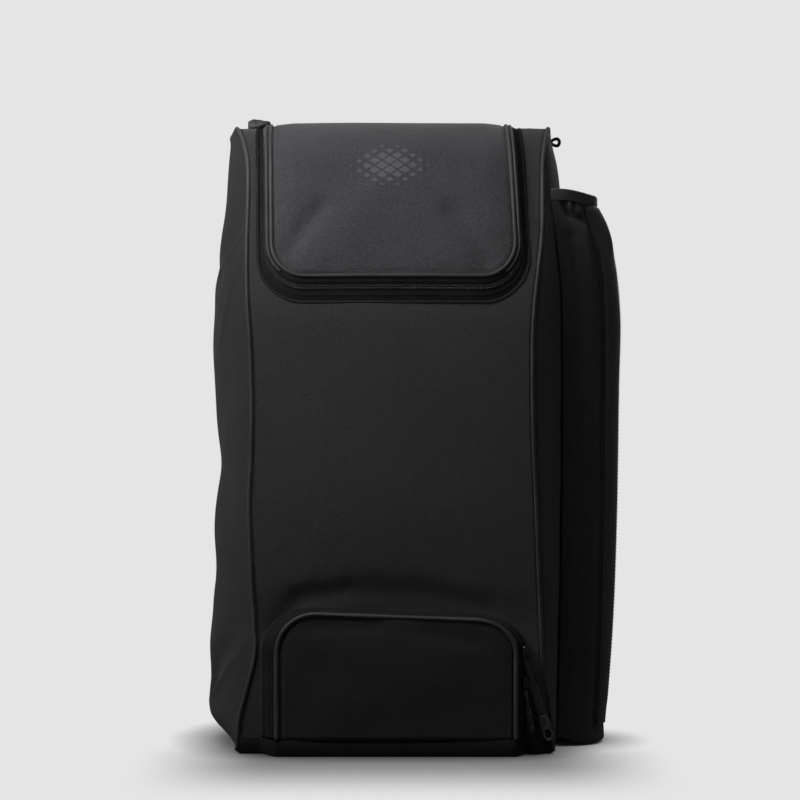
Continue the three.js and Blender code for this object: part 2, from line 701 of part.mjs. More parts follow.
// The rows of the arched pocket from the base up: a height and the two ends across. spread lets the
// arch out to the left, the top and the right, turn grows from 0 to 1 round the corners.
function archRows(spread) {
  const start = POCKET.top - POCKET.corner;
  const foot = BASE_LIP + GAP;
  const legs = [0, 0.5].map((share) => ({
    z: mix(foot, start, share),
    left: -pocketLeft - spread.left,
    right: pocketRight + spread.right,
    turn: 0,
  }));
  const corners = steps(TURN_STEPS).map((share) => {
    const angle = (Math.PI / 2) * share;
    const inset = (POCKET.corner - Math.min(spread.top, 0)) * (1 - Math.cos(angle));
    return {
      z: start + (POCKET.corner + spread.top) * Math.sin(angle),
      left: -pocketLeft - spread.left * Math.cos(angle) + inset,
      right: pocketRight + spread.right * Math.cos(angle) - inset,
      turn: Math.sin(angle),
    };
  });
  return [...legs, ...corners];
}

// The top line drops towards the right.
const slant = (row, x) => -POCKET.slant * row.turn * clamp(0.5 + x / (2 * pocketLeft), 0, 1);

// The arch from its left foot up, across and down to its right foot.
function archEdge(spread, pointAt) {
  const rows = archRows(spread);
  const top = rows[rows.length - 1];
  return [
    ...rows.map((row) => pointAt(row, row.left)),
    ...inside(EDGE_STEPS).map((share) => pointAt(top, mix(top.left, top.right, share))),
    ...[...rows].reverse().map((row) => pointAt(row, row.right)),
  ];
}

const evenly = (by) => ({ left: by, top: by, right: by });
const pocketEdge = (by) =>
  archEdge(evenly(by), (row, x) => V(x, FRONT - POCKET.depth, row.z + slant(row, x)));

function pocketPanel() {
  const grid = archRows(evenly(-SEAM)).map((row) =>
    steps(POCKET_STEPS).map((share) => {
      const x = mix(row.left, row.right, share);
      const height = Math.sin(Math.PI * clamp(row.z / POCKET.top, 0, 1));
      const swell = POCKET_CROWN * middle(share) * height ** 0.7;
      return V(x, FRONT - POCKET.depth - swell, row.z + slant(row, x));
    }),
  );
  return sheet(grid, CLOTH);
}

// The pocket's zip runs from the pocket's edge back to the front panel, its coil raised.
const POCKET_ZIP_COLUMNS = [0, 0.38, 0.48, 0.58, 1];
function pocketZip() {
  const clear = ZIP_TAPE + 3 * GAP;
  const outer = archEdge(POCKET_FLARE, (row, x) => {
    const z = row.z + slant(row, x);
    return V(x, wrap(placeAt(z), x).y - clear, z);
  });
  const inner = pocketEdge(0).map((point) => point.add(V(0, SEAM, 0)));
  const grid = outer.map((a, i) => POCKET_ZIP_COLUMNS.map((share) => a.clone().lerp(inner[i], share)));
  const coil = (column) => (POCKET_ZIP_COLUMNS[column] === 0.48 ? COIL_HEIGHT : 0);
  return sheet(raise(grid, coil), ZIP_TAPE);
}

const POCKET_ZIP_OUT = V(POCKET.depth, -POCKET_FLARE.right, 0).normalize();

// Where a slider sits on the right leg of the pocket's zip, at a height.
function pocketParking(z) {
  const clear = COIL_HEIGHT + 3 * GAP + SLIDER.thickness / 2;
  const at = V(pocketRight + POCKET_FLARE.right / 2, FRONT - POCKET.depth / 2, z);
  return at.addScaledVector(POCKET_ZIP_OUT, clear);
}

const pocketSlider = (z) => slider(pocketParking(z), POCKET_ZIP_OUT, V(0, 0, 1));

// The line that a pull hangs along, from just under its slider.
function pullLine(pull) {
  const start = pocketParking(pull.from - SLIDER.length / 2 - 3 * GAP);
  const end = V(start.x + pull.lean, FRONT - pull.rest, start.z - pull.length);
  return { start, end, along: end.clone().sub(start).normalize() };
}

// A pull hangs thin at its slider and full below; waist is where it changes.
function pull(sizes, waist) {
  const { start, end, along } = pullLine(sizes);
  const out = V(0, -1, 0).addScaledVector(along, along.y).normalize();
  const across = along.clone().cross(out);
  const rows = [
    { at: 0, full: 0.55 },
    { at: waist, full: 0.55 },
    { at: waist + 0.06, full: 1 },
    { at: 1, full: 1 },
  ];
  return bar(
    rows.map((row) => ({
      at: start.clone().lerp(end, row.at),
      across,
      out,
      width: sizes.width * row.full,
      thick: sizes.thickness * row.full,
    })),
  );
}

// The moulded end of the long pull, an oblong with an oval slot.
function pullEnd() {
  const { end, along } = pullLine(LONG_PULL);
  const half = PULL_END.length / 2;
  const outline = new THREE.Shape();
  outline.absellipse(0, 0, PULL_END.width / 2, half, 0, 2 * Math.PI);
  const slot = new THREE.Path();
  slot.absellipse(0, 0, PULL_END.slot / 2, half * 0.55, 0, 2 * Math.PI);
  outline.holes.push(slot);
  const options = { depth: PULL_END.thickness, bevelEnabled: false, curveSegments: 8 };
  const block = new THREE.ExtrudeGeometry(outline, options);
  block.translate(0, 0, -PULL_END.thickness / 2);
  const out = V(0, -1, 0).addScaledVector(along, along.y).normalize();
  const down = along.clone().negate();
  block.applyMatrix4(new THREE.Matrix4().makeBasis(down.clone().cross(out), down, out));
  const at = end.clone().addScaledVector(along, half + GAP);
  block.translate(at.x, at.y, at.z);
  return block;
}

// Sleeve

const sleeveMouth = HEIGHT - SLEEVE.drop;
const sleeveReach = (z) =>
  SLEEVE.reach * read(SLEEVE_REACH, "up", "reach", clamp(z / sleeveMouth, 0, 1));

// Its heights follow the side panel's sections up to the gathers.
function sleeveHeights() {
  const low = SECTIONS.map((_, k) => heightOf(k)).filter((z) => z < sleeveMouth * 0.84);
  return [...low, ...GATHER_ROWS.map((share) => share * sleeveMouth)];
}

// The sleeve's outer face: a soft curve out from the side panel, round and back to it.
function sleeveGrid(heights) {
  const y0 = FRONT + SLEEVE.front;
  const clear = 3 * GAP;
  return heights.map((z) => {
    const out = HALF + sleeveReach(z) - sideReach(1, z, y0 + SLEEVE.depth / 2);
    const under = clamp(1 - (sleeveMouth - z) / SLEEVE_GATHER.height, 0, 1);
    const gather = 4 * under * (1 - under) * SLEEVE_GATHER.depth;
    return steps(SLEEVE_STEPS).map((share) => {
      const turn = Math.PI * share;
      const forward = Math.sign(Math.cos(turn)) * Math.abs(Math.cos(turn)) ** 0.8;
      const y = y0 + (SLEEVE.depth / 2) * (1 - forward);
      const wallY = y + (share < 0.5 ? CLOTH : -CLOTH);
      const base = sideReach(1, z, clamp(wallY, FRONT, -FRONT)) + clear;
      const ripple = gather * Math.cos(GATHER_STEPS * turn) * Math.sin(turn);
      return V(base + out * Math.sin(turn) ** 0.8 - ripple, y, z);
    });
  });
}

const sleevePanel = () => sheet(sleeveGrid(sleeveHeights()), CLOTH);

function sleeveBinding() {
  const grid = sleeveGrid([GAP, SLEEVE_BINDING.height].map((up) => sleeveMouth + up));
  const proud = (column) => (column > 0 && column < SLEEVE_STEPS ? SLEEVE_BINDING.wall - CLOTH : 0);
  return sheet(raise(grid, proud), SLEEVE_BINDING.wall);
}

function sleeveWebbing() {
  const lifted = raise(sleeveGrid(sleeveHeights()), () => GAP + WEBBING_THICKNESS);
  const { from, to } = WEBBING_STEPS;
  const strip = lifted.slice(1, -1).map((row) => row.slice(from, to + 1));
  return sheet(strip, WEBBING_THICKNESS);
}

function sleeveBase() {
  const grid = sleeveGrid([FLOOR])[0];
  const shape = new THREE.Shape();
  grid.forEach((p, i) => (i ? shape.lineTo(p.x, p.y) : shape.moveTo(p.x, p.y)));
  const [from, to] = [grid[0].y, grid[grid.length - 1].y];
  for (const share of steps(SIDE_STEPS)) {
    const y = mix(to, from, share);
    shape.lineTo(sideReach(1, FLOOR, y) + 3 * GAP, y);
  }
  return new THREE.ExtrudeGeometry(shape, { depth: SLEEVE_BASE, bevelEnabled: false });
}

// Back

function shoulderStrap(side) {
  const path = STRAP_SECTIONS.map((row) => {
    const x = side * row.over * HALF;
    const z = row.up * HEIGHT;
    return V(x, backReach(x, z) + row.out * STRAP.bow + GAP, z);
  });
  return bar(
    STRAP_SECTIONS.map((row, i) => {
      const along = tangent(path, i);
      const sewn = i === 0 || i === path.length - 1;
      return {
        at: path[i],
        across: V(1, 0, 0),
        out: sewn ? V(0, 1, 0) : V(0, -along.z, along.y).normalize(),
        width: row.width * STRAP.width,
        thick: row.thick * STRAP.thickness,
      };
    }),
  );
}

function grabHandle() {
  const path = steps(HANDLE_STEPS).map((share) => {
    const x = (share - 0.5) * HANDLE.length;
    const rise = Math.sin(Math.PI * share);
    const z = HEIGHT - HANDLE.drop + HANDLE.rise * rise;
    const low = z - HANDLE.width / 2;
    const seat = Math.max(backReach(x, low), wrap(WRAP_END - 0.5, x).y);
    return V(x, seat + HANDLE.thickness / 2 + 3 * GAP + HANDLE.bow * rise ** 0.8, z);
  });
  return bar(
    path.map((at, i) => {
      const along = tangent(path, i);
      const sewn = i === 0 || i === path.length - 1;
      return {
        at,
        across: V(0, 0, 1),
        out: sewn ? V(0, 1, 0) : V(-along.y, along.x, 0).normalize(),
        width: HANDLE.width,
        thick: HANDLE.thickness,
      };
    }),
  );
}

// Finished object

const looks = {
  cloth: new THREE.MeshStandardMaterial({ color: 0x1d1d1f, roughness: 0.85 }),
  lid: new THREE.MeshStandardMaterial({ color: 0x2a2a2d, roughness: 0.85 }),
  piping: new THREE.MeshStandardMaterial({ color: 0x3c3833, roughness: 0.6 }),
  zip: new THREE.MeshStandardMaterial({ color: 0x121213, roughness: 0.7 }),
  webbing: new THREE.MeshStandardMaterial({ color: 0x161617, roughness: 0.8 }),
  metal: new THREE.MeshStandardMaterial({ color: 0x2c2c2c, roughness: 0.35, metalness: 1 }),
  rubber: new THREE.MeshStandardMaterial({ color: 0x141414, roughness: 0.6 }),
};

const bag = new THREE.Group();
function add(name, geometry, look) {
  const mesh = new THREE.Mesh(geometry, looks[look]);
  mesh.name = name;
  bag.add(mesh);
}

add("front_panel", frontPanel(), "cloth");
add("left_side_panel", sheet(sideGrid(-1), CLOTH), "cloth");
add("right_side_panel", sheet(sideGrid(1), CLOTH), "cloth");
add("back_panel", backPanel(), "cloth");
add("base_panel", basePanel(), "cloth");
add("left_piping", cord(SEAMS.left, PIPING_RADIUS), "piping");
add("right_piping", cord(SEAMS.right, PIPING_RADIUS), "piping");

add("lid_panel", lidPanel(), "lid");
add("lid_piping", lidPiping(), "piping");
add("lid_zip", lidZip(), "zip");
add("lid_slider", lidSlider(), "metal");
add("lid_pull", lidPull(), "metal");
add("zip_end", zipEnd(), "zip");
add("corner_loop", cornerLoop(), "webbing");

add("pocket_panel", pocketPanel(), "cloth");
add("pocket_piping", cord(pocketEdge(0), PIPING_RADIUS), "piping");
add("pocket_zip", pocketZip(), "zip");
add("pocket_slider_upper", pocketSlider(LONG_PULL.from), "metal");
add("pocket_slider_lower", pocketSlider(SHORT_PULL.from), "metal");
add("pocket_pull_long", pull(LONG_PULL, 0.45), "webbing");
add("pocket_pull_end", pullEnd(), "rubber");
add("pocket_pull_short", pull(SHORT_PULL, 0.4), "metal");

add("sleeve_panel", sleevePanel(), "cloth");
add("sleeve_binding", sleeveBinding(), "webbing");
add("sleeve_webbing", sleeveWebbing(), "webbing");
add("sleeve_base", sleeveBase(), "cloth");

add("shoulder_strap_left", shoulderStrap(-1), "webbing");
add("shoulder_strap_right", shoulderStrap(1), "webbing");
add("grab_handle", grabHandle(), "webbing");

export default bag;
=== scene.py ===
import math

import bpy
from mathutils import Matrix, Vector, noise


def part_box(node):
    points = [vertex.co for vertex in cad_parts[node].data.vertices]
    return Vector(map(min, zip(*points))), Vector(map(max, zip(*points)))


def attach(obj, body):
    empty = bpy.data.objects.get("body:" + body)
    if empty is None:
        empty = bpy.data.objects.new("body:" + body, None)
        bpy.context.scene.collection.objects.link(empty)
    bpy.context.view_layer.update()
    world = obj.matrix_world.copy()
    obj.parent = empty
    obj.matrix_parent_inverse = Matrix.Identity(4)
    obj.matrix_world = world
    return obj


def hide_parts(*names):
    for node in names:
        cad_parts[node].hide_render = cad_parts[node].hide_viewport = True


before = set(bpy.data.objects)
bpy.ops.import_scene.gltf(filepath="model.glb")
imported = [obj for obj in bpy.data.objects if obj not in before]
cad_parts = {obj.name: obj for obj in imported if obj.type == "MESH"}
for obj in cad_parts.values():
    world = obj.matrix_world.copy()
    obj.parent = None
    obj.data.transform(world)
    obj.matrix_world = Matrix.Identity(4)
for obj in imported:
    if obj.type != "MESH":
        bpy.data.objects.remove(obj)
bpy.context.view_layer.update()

# Camera
# A long lens stands three metres in front of the bag, level with its middle, and looks straight at it.
CAMERA_AT = (0.0055, -3.1425, 0.389)
LENS = 122.7
bpy.ops.object.camera_add(location=CAMERA_AT, rotation=(math.pi / 2, 0, 0))
camera = bpy.context.object
camera.data.sensor_width = 36
camera.data.lens = LENS
bpy.context.scene.camera = camera

# Front cloth
# One length of padded polyester runs up from the base, leans back and turns over the top. It is
# sewn into both lines of piping, and its edge is folded back round the opening under the lid.
HEIGHT = 0.702
DEPTH = 0.285
HALF = 0.174
FRONT = -DEPTH / 2
FLOOR = 0.0033
CLOTH = 0.0018
SEAM = 0.0017
BACK_CORNER = 0.018
FRONT_CROWN = 0.009
CELL = 0.0042
# Shares of the bag's height, depth, half width and swell, one row for each level from the floor up:
# up, back, left, right, left swell, right swell, crown.
LEVELS = [
    (0.0, 0.0, 1.0, 1.0, 0.14, 0.13, 0.0),
    (0.028, 0.0, 0.99, 0.996, 0.72, 0.22, 0.0),
    (0.053, -0.002, 0.98, 0.99, 0.9, 0.27, 0.1),
    (0.097, -0.004, 0.936, 0.963, 0.96, 0.43, 0.2),
    (0.153, -0.004, 0.883, 0.933, 1.08, 0.61, 0.1),
    (0.205, 0.0, 0.888, 0.923, 1.0, 0.67, 0.0),
    (0.265, -0.01, 0.9, 0.912, 0.94, 0.73, 0.6),
    (0.34, -0.016, 0.914, 0.9, 0.91, 0.8, 0.9),
    (0.403, -0.018, 0.918, 0.891, 0.85, 0.86, 1.0),
    (0.463, -0.017, 0.906, 0.88, 0.84, 0.92, 1.0),
    (0.55, -0.014, 0.904, 0.872, 0.87, 0.97, 0.9),
    (0.64, -0.005, 0.913, 0.872, 0.91, 0.97, 0.7),
    (0.7, 0.009, 0.931, 0.884, 0.8, 0.93, 0.5),
    (0.76, 0.05, 0.943, 0.912, 0.7, 0.78, 0.4),
    (0.82, 0.12, 0.947, 0.94, 0.52, 0.6, 0.3),
    (0.88, 0.2, 0.947, 0.95, 0.38, 0.53, 0.3),
    (0.935, 0.28, 0.957, 0.958, 0.27, 0.42, 0.3),
    (0.972, 0.36, 0.992, 0.98, 0.17, 0.23, 0.25),
    (0.993, 0.44, 1.03, 1.0, 0.08, 0.1, 0.18),
    (1.0, 0.52, 1.05, 1.015, 0.04, 0.04, 0.1),
]
LAST = len(LEVELS) - 1
TOP_STEPS = 3
TOP_SPREAD = {-1: 0.022, 1: 0.01}
# Hollows in the cloth: x0, z0, x1, z1 in metres, then how wide and how deep each is.
FRONT_HOLLOWS = [
    (-0.136, 0.138, -0.118, 0.158, 0.011, 0.003),
    (-0.104, 0.172, -0.055, 0.18, 0.013, 0.0052),
    (-0.032, 0.181, 0.02, 0.178, 0.014, 0.0038),
    (0.042, 0.176, 0.1, 0.163, 0.012, 0.0026),
    (-0.108, 0.198, -0.12, 0.222, 0.008, 0.0012),
    (-0.07, 0.206, -0.066, 0.225, 0.008, 0.0008),
    (-0.07, 0.421, 0.059, 0.33, 0.06, 0.003),
]


def clamp(value, low=0.0, high=1.0):
    return max(low, min(high, value))


def mix(a, b, share):
    return a + (b - a) * share


def ease(value, low, high):
    share = clamp((value - low) / (high - low))
    return share * share * (3 - 2 * share)


def hump(value, middle, width):
    return math.exp(-(((value - middle) / width) ** 2))


def squared(value, power):
    """A sine or cosine bent towards a square outline, with its sign kept."""
    return math.copysign(abs(value) ** power, value)


def through(stations, place):
    """A smooth line through evenly counted stations."""
    i = int(clamp(math.floor(place), 0, len(stations) - 2))
    t = place - i
    a, b = stations[max(i - 1, 0)], stations[i]
    c, d = stations[i + 1], stations[min(i + 2, len(stations) - 1)]
    bend = (2 * a - 5 * b + 4 * c - d) * t * t + (3 * b - a - 3 * c + d) * t**3
    return 0.5 * (2 * b + (c - a) * t + bend)


def level_height(k):
    return FLOOR + (HEIGHT - FLOOR) * LEVELS[k][0]


def front_seam(side, k):
    share = LEVELS[k][2] if side < 0 else LEVELS[k][3]
    return Vector((side * HALF * share, FRONT + LEVELS[k][1] * DEPTH, level_height(k)))


def rear_seam(side, k):
    z = level_height(k)
    over = max(z - (HEIGHT - BACK_CORNER), 0)
    y = FRONT + DEPTH - BACK_CORNER + math.sqrt(max(BACK_CORNER**2 - over**2, 0))
    return Vector((side * (HALF + TOP_SPREAD[side] * ease(LEVELS[k][0], 0.5, 1)), y, z))


def whole_seam(side):
    rows = [front_seam(side, k) for k in range(LAST + 1)]
    for i in range(1, TOP_STEPS):
        rows.append(rows[LAST].lerp(rear_seam(side, LAST), i / TOP_STEPS))
    return rows + [rear_seam(side, k) for k in range(LAST, -1, -1)]


SEAMS = {-1: whole_seam(-1), 1: whole_seam(1)}
SEAM_END = len(SEAMS[1]) - 1
WRAP_END = LAST + TOP_STEPS + 3


def seam_at(side, place):
    return through(SEAMS[side], place)


def seam_out(place):
    along = seam_at(-1, min(place + 0.1, SEAM_END)) - seam_at(-1, max(place - 0.1, 0))
    return Vector((0, -along.z, along.y)).normalized()


def place_at(z):
    """The place on the front seam at a height."""
    low, high = 0.0, float(LAST)
    for _ in range(24):
        middle = (low + high) / 2
        if seam_at(-1, middle).z < z:
            low = middle
        else:
            high = middle
    return (low + high) / 2


def arch(share):
    return 1 - (2 * share - 1) ** 2


def hollow(table, across, z):
    """How deep the hollows of a table sink the cloth at one point."""
    total = 0
    for x0, z0, x1, z1, wide, deep in table:
        dx, dz = x1 - x0, z1 - z0
        along = clamp(((across - x0) * dx + (z - z0) * dz) / (dx * dx + dz * dz))
        off = math.hypot(across - x0 - along * dx, z - z0 - along * dz) / wide
        total += deep * math.exp(-off * off)
    return total


def wrap(place, x, lift=0.0):
    """A point of the front cloth's outer face, lifted off it by a distance."""
    left, right = seam_at(-1, place), seam_at(1, place)
    share = clamp((x - left.x) / (right.x - left.x))
    crown = FRONT_CROWN * through([row[6] for row in LEVELS], min(place, LAST))
    sunk = hollow(FRONT_HOLLOWS, x, left.z if place < LAST else HEIGHT)
    swell = arch(share) * crown - min(4 * arch(share), 1) * sunk
    point = left.lerp(right, share) + seam_out(place) * (swell + lift)
    point.x = x
    return point


def travel(line, count):
    """Places spaced evenly along a line that is given as points for places 0, 1, 2 and so on."""
    fine = [(i / 20, through(line, i / 20)) for i in range(20 * (len(line) - 1) + 1)]
    lengths = [0.0]
    for (_, a), (_, b) in zip(fine, fine[1:]):
        lengths.append(lengths[-1] + (b - a).length)
    places, j = [], 0
    for i in range(count + 1):
        goal = lengths[-1] * i / count
        while j < len(lengths) - 2 and lengths[j + 1] < goal:
            j += 1
        share = (goal - lengths[j]) / max(lengths[j + 1] - lengths[j], 1e-9)
        places.append(mix(fine[j][0], fine[j + 1][0], clamp(share)))
    return places, lengths[-1]


def only(piece):
    bpy.ops.object.select_all(action="DESELECT")
    piece.select_set(True)
    bpy.context.view_layer.objects.active = piece


def lay(name, columns, rows, point_at, uv_at, merge=False):
    """A grid whose points are where point_at puts its shares across and along. uv_at is the size
    of the piece laid flat, or takes the same shares."""
    bpy.ops.object.select_all(action="DESELECT")
    bpy.ops.mesh.primitive_grid_add(x_subdivisions=columns, y_subdivisions=rows, size=2)
    piece = bpy.context.object
    piece.name = name
    shares = [((v.co.x + 1) / 2, (v.co.y + 1) / 2) for v in piece.data.vertices]
    for vertex, (u, v) in zip(piece.data.vertices, shares):
        vertex.co = point_at(clamp(u), clamp(v))
    layer = piece.data.uv_layers.active.data
    for loop in piece.data.loops:
        u, v = shares[loop.vertex_index]
        layer[loop.index].uv = uv_at(u, v) if callable(uv_at) else (u * uv_at[0], v * uv_at[1])
    bpy.ops.object.transform_apply(location=True, rotation=True, scale=True)
    if merge:
        bpy.ops.object.mode_set(mode="EDIT")
        bpy.ops.mesh.select_all(action="SELECT")
        bpy.ops.mesh.remove_doubles(threshold=0.00005)
        bpy.ops.mesh.fill_holes(sides=0)
        bpy.ops.mesh.normals_make_consistent(inside=False)
        bpy.ops.object.mode_set(mode="OBJECT")
    bpy.ops.object.shade_smooth()
    return piece


def give_wall(piece, wall, inward=True):
    """Gives a sheet its thickness, behind its outer face."""
    only(piece)
    solid = piece.modifiers.new("wall", "SOLIDIFY")
    solid.thickness = wall
    solid.offset = -1 if inward else 1
    bpy.ops.object.modifier_apply(modifier="wall")


PUCKER = {"broad": 0.0011, "fine": 0.0013, "level": 0.35}


def crinkle(point, seed, reach):
    """Small puckers of the cloth, strongest where reach is 1."""
    shift = Vector((seed, seed * 0.37, seed * 0.61))
    broad = noise.noise(point * 11 + shift) * PUCKER["broad"]
    fine = abs(noise.noise(Vector((point.x * 34, point.y * 34, point.z * 52)) + shift))
    return broad - (PUCKER["level"] - fine) * PUCKER["fine"] * reach


class Value:
    """A number or colour inside a material, so that its maths reads as an expression."""

    def __init__(self, finish, socket):
        self.finish = finish
        self.socket = socket

    def maths(self, operation, other=0.0, swap=False):
        pair = (other, self) if swap else (self, other)
        return self.finish.node("Math", {"operation": operation}, *pair)

    def __add__(self, other):
        return self.maths("ADD", other)

    __radd__ = __add__

    def __sub__(self, other):
        return self.maths("SUBTRACT", other)

    def __rsub__(self, other):
        return self.maths("SUBTRACT", other, True)

    def __mul__(self, other):
        return self.maths("MULTIPLY", other)

    __rmul__ = __mul__

    def __pow__(self, other):
        return self.maths("POWER", other)

    def __abs__(self):
        return self.maths("ABSOLUTE")


class Finish:
    """A material, with its shader and the patterns that feed it."""

    def __init__(self, name, **constants):
        self.material = bpy.data.materials.new(name)
        self.material.use_nodes = True
        self.tree = self.material.node_tree
        self.shader = self.tree.nodes["Principled BSDF"]
        for key, value in constants.items():
            self.shader.inputs[key.replace("_", " ")].default_value = value

    def node(self, kind, settings, *values, output=0):
        node = self.tree.nodes.new("ShaderNode" + kind)
        for key, value in settings.items():
            if key == "stops":
                for i, (at, colour) in enumerate(value):
                    stop = node.color_ramp.elements[i] if i < 2 else node.color_ramp.elements.new(at)
                    stop.position = at
                    stop.color = (*colour, 1)
            else:
                setattr(node, key, value)
        for i, value in enumerate(values):
            if value is not None:
                self.feed(node.inputs[i], value)
        return Value(self, node.outputs[output])

    def feed(self, socket, value):
        if isinstance(value, Value):
            self.tree.links.new(value.socket, socket)
        else:
            socket.default_value = value

    def set(self, **parts):
        for key, value in parts.items():
            self.feed(self.shader.inputs[key.replace("_", " ")], value)

    def place(self):
        return self.node("TexCoord", {}, output=3)

    def threads(self):
        return self.node("UVMap", {})

    def split(self, vector):
        first = self.node("SeparateXYZ", {}, vector)
        outputs = first.socket.node.outputs
        return [Value(self, outputs[i]) for i in range(3)]

    def grain(self, where, scale, detail=2.0, rough=0.5):
        return self.node("TexNoise", {}, where, None, scale, detail, rough)

    def blend(self, first, second, share):
        mixer = self.node("Mix", {"data_type": "RGBA"}, share)
        inputs = mixer.socket.node.inputs
        for socket, colour in ((inputs[6], first), (inputs[7], second)):
            self.feed(socket, colour if isinstance(colour, Value) else (*colour, 1))
        return Value(self, mixer.socket.node.outputs[2])

    def steer(self, value, low, high, to_low=0.0, to_high=1.0):
        settings = {"interpolation_type": "SMOOTHSTEP"}
        return self.node("MapRange", settings, value, low, high, to_low, to_high)

    def emboss(self, height, strength, distance):
        bump = self.node("Bump", {})
        inputs = bump.socket.node.inputs
        inputs["Strength"].default_value = strength
        inputs["Distance"].default_value = distance
        self.feed(inputs["Height"], height)
        self.set(Normal=bump)


def weave(finish, pitch):
    """Height of a plain weave with one thread in each pitch of the piece's own UV map."""
    u, v, _ = finish.split(finish.threads())
    warp = (u * (math.pi / pitch)).maths("SINE")
    weft = (v * (math.pi / pitch)).maths("SINE")
    over = (warp * weft).maths("GREATER_THAN", 0.0)
    rounded = abs(warp) * (0.6 + 0.4 * abs(weft))
    crossed = abs(weft) * (0.6 + 0.4 * abs(warp))
    return over * rounded + (1 - over) * crossed


def polyester(name, dark, light, sheen=0.25, pitch=0.00075, shine=0.5, rough=0.72):
    """Woven polyester whose threads catch the light, a little dusty and uneven in its dye."""
    finish = Finish(name, Sheen_Weight=sheen, Sheen_Roughness=0.35, Specular_IOR_Level=shine)
    where = finish.place()
    threads = weave(finish, pitch)
    cloudy = finish.steer(finish.grain(where, 14.0, 4.0, 0.6), 0.3, 0.72)
    slubs = finish.steer(finish.grain(where, 520.0, 3.0, 0.7), 0.34, 0.68)
    lint = finish.steer(finish.grain(where, 900.0, 1.0), 0.6, 0.78)
    share = cloudy * 0.4 + threads * 0.25 + slubs * 0.9 + lint * 0.3 - 0.3
    finish.set(Base_Color=finish.blend(dark, light, share))
    finish.set(Roughness=rough + 0.08 - threads * 0.14 + cloudy * 0.05)
    finish.emboss(threads + slubs * 1.4 + finish.grain(where, 60.0, 3.0) * 1.2, 0.6, 0.0004)
    return finish


def dress(piece, finish, slot, *nodes):
    """Gives a piece its finish, hangs it from the root and hides the model's parts that it stands for;
    its slot is not used.
    """
    piece.data.materials.clear()
    piece.data.materials.append(finish.material)
    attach(piece, "root")
    if nodes:
        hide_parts(*nodes)


# The lid's flap and its opening in the front cloth, both U-shaped: left and right reach from the
# middle, bottom is the height of the lower edge, back the distance of the hinge behind the front.
LID_FLAP = {"left": 0.1367, "right": 0.1333, "bottom": 0.523, "corner": 0.038, "back": 0.25}
LID_OPENING = {"left": 0.15, "right": 0.147, "bottom": 0.498, "corner": 0.05, "back": 0.258}
LID_LEAN = 0.006


def hinge(flap):
    start, end = seam_at(-1, LAST).y, seam_at(-1, LAST + TOP_STEPS).y
    return LAST + TOP_STEPS * (FRONT + flap["back"] - start) / (end - start)


def flap_row(flap, share):
    """The place on the cloth and the two ends across a flap; its corners take the first part."""
    start = flap["bottom"] + flap["corner"]
    if share < 0.2:
        angle = math.pi / 2 * (1 - share / 0.2)
        inset = flap["corner"] * (1 - math.cos(angle))
        place = place_at(start - flap["corner"] * math.sin(angle))
        return place, inset - flap["left"], flap["right"] - inset
    along = (share - 0.2) / 0.8
    drift = -LID_LEAN * min(along / 0.5, 1)
    return mix(place_at(start), hinge(flap), along), drift - flap["left"], drift + flap["right"]


def flap_edge(flap, leg=60, across=40):
    """The U edge as places and distances across, from the left hinge round to the right one."""
    rows = [flap_row(flap, 0.2 * i / 16) for i in range(16)]
    rows += [flap_row(flap, 0.2 + 0.8 * i / leg) for i in range(leg + 1)]
    edge = [(place, left) for place, left, _ in reversed(rows)]
    place, left, right = rows[0]
    edge += [(place, mix(left, right, i / across)) for i in range(1, across)]
    return edge + [(place, right) for place, _, right in rows]


def in_flap(flap, place, x):
    if place > hinge(flap):
        return False
    z = seam_at(-1, place).z if place < LAST else HEIGHT
    start = flap["bottom"] + flap["corner"]
    if z < flap["bottom"]:
        return False
    sink = max(start - z, 0)
    inset = flap["corner"] - math.sqrt(max(flap["corner"] ** 2 - sink**2, 0))
    along = clamp((place - place_at(start)) / (hinge(flap) - place_at(start)))
    drift = -LID_LEAN * min(along / 0.5, 1)
    return inset + drift - flap["left"] < x < flap["right"] - inset + drift


FRONT_COLUMNS = 84
FRONT_ROWS = 212
front_places, front_length = travel(SEAMS[-1][: WRAP_END + 1], FRONT_ROWS)


def front_point(u, v):
    place = front_places[round(v * FRONT_ROWS)]
    left, right = seam_at(-1, place).x + SEAM, seam_at(1, place).x - SEAM
    x = mix(left, right, u)
    point = wrap(place, x)
    edge = min(x - left, right - x)
    reach = math.exp(-edge / 0.02) + 0.25 * math.exp(-((point.z - 0.18) ** 2) / 0.004)
    held = min(edge / 0.012, 1)
    return point + seam_out(place) * crinkle(point, 3.1, reach) * held


front = lay("front_cloth", FRONT_COLUMNS, FRONT_ROWS, front_point, (2 * HALF, front_length))
opening = [(place, x, wrap(place, x)) for place, x in flap_edge(LID_OPENING, 90, 80)]
inside = [
    in_flap(LID_OPENING, front_places[vertex.index // (FRONT_COLUMNS + 1)], vertex.co.x)
    for vertex in front.data.vertices
]
only(front)
bpy.ops.object.mode_set(mode="EDIT")
bpy.ops.mesh.select_all(action="DESELECT")
bpy.ops.object.mode_set(mode="OBJECT")
for face in front.data.polygons:
    face.select = sum(inside[index] for index in face.vertices) > 2
bpy.ops.object.mode_set(mode="EDIT")
bpy.ops.mesh.select_mode(type="FACE")
bpy.ops.mesh.delete(type="FACE")
bpy.ops.mesh.select_mode(type="VERT")
bpy.ops.mesh.select_non_manifold()
bpy.ops.object.mode_set(mode="OBJECT")
for vertex in front.data.vertices:
    near = min(opening, key=lambda item: (item[2] - vertex.co).length) if vertex.select else None
    if near and (near[2] - vertex.co).length < 1.6 * CELL:
        vertex.co = near[2]
give_wall(front, CLOTH)
bag_cloth = polyester("bag_cloth", (0.0058, 0.0061, 0.0068), (0.0175, 0.0183, 0.0203), 0.15)
dress(front, bag_cloth, "cloth", "front_panel")

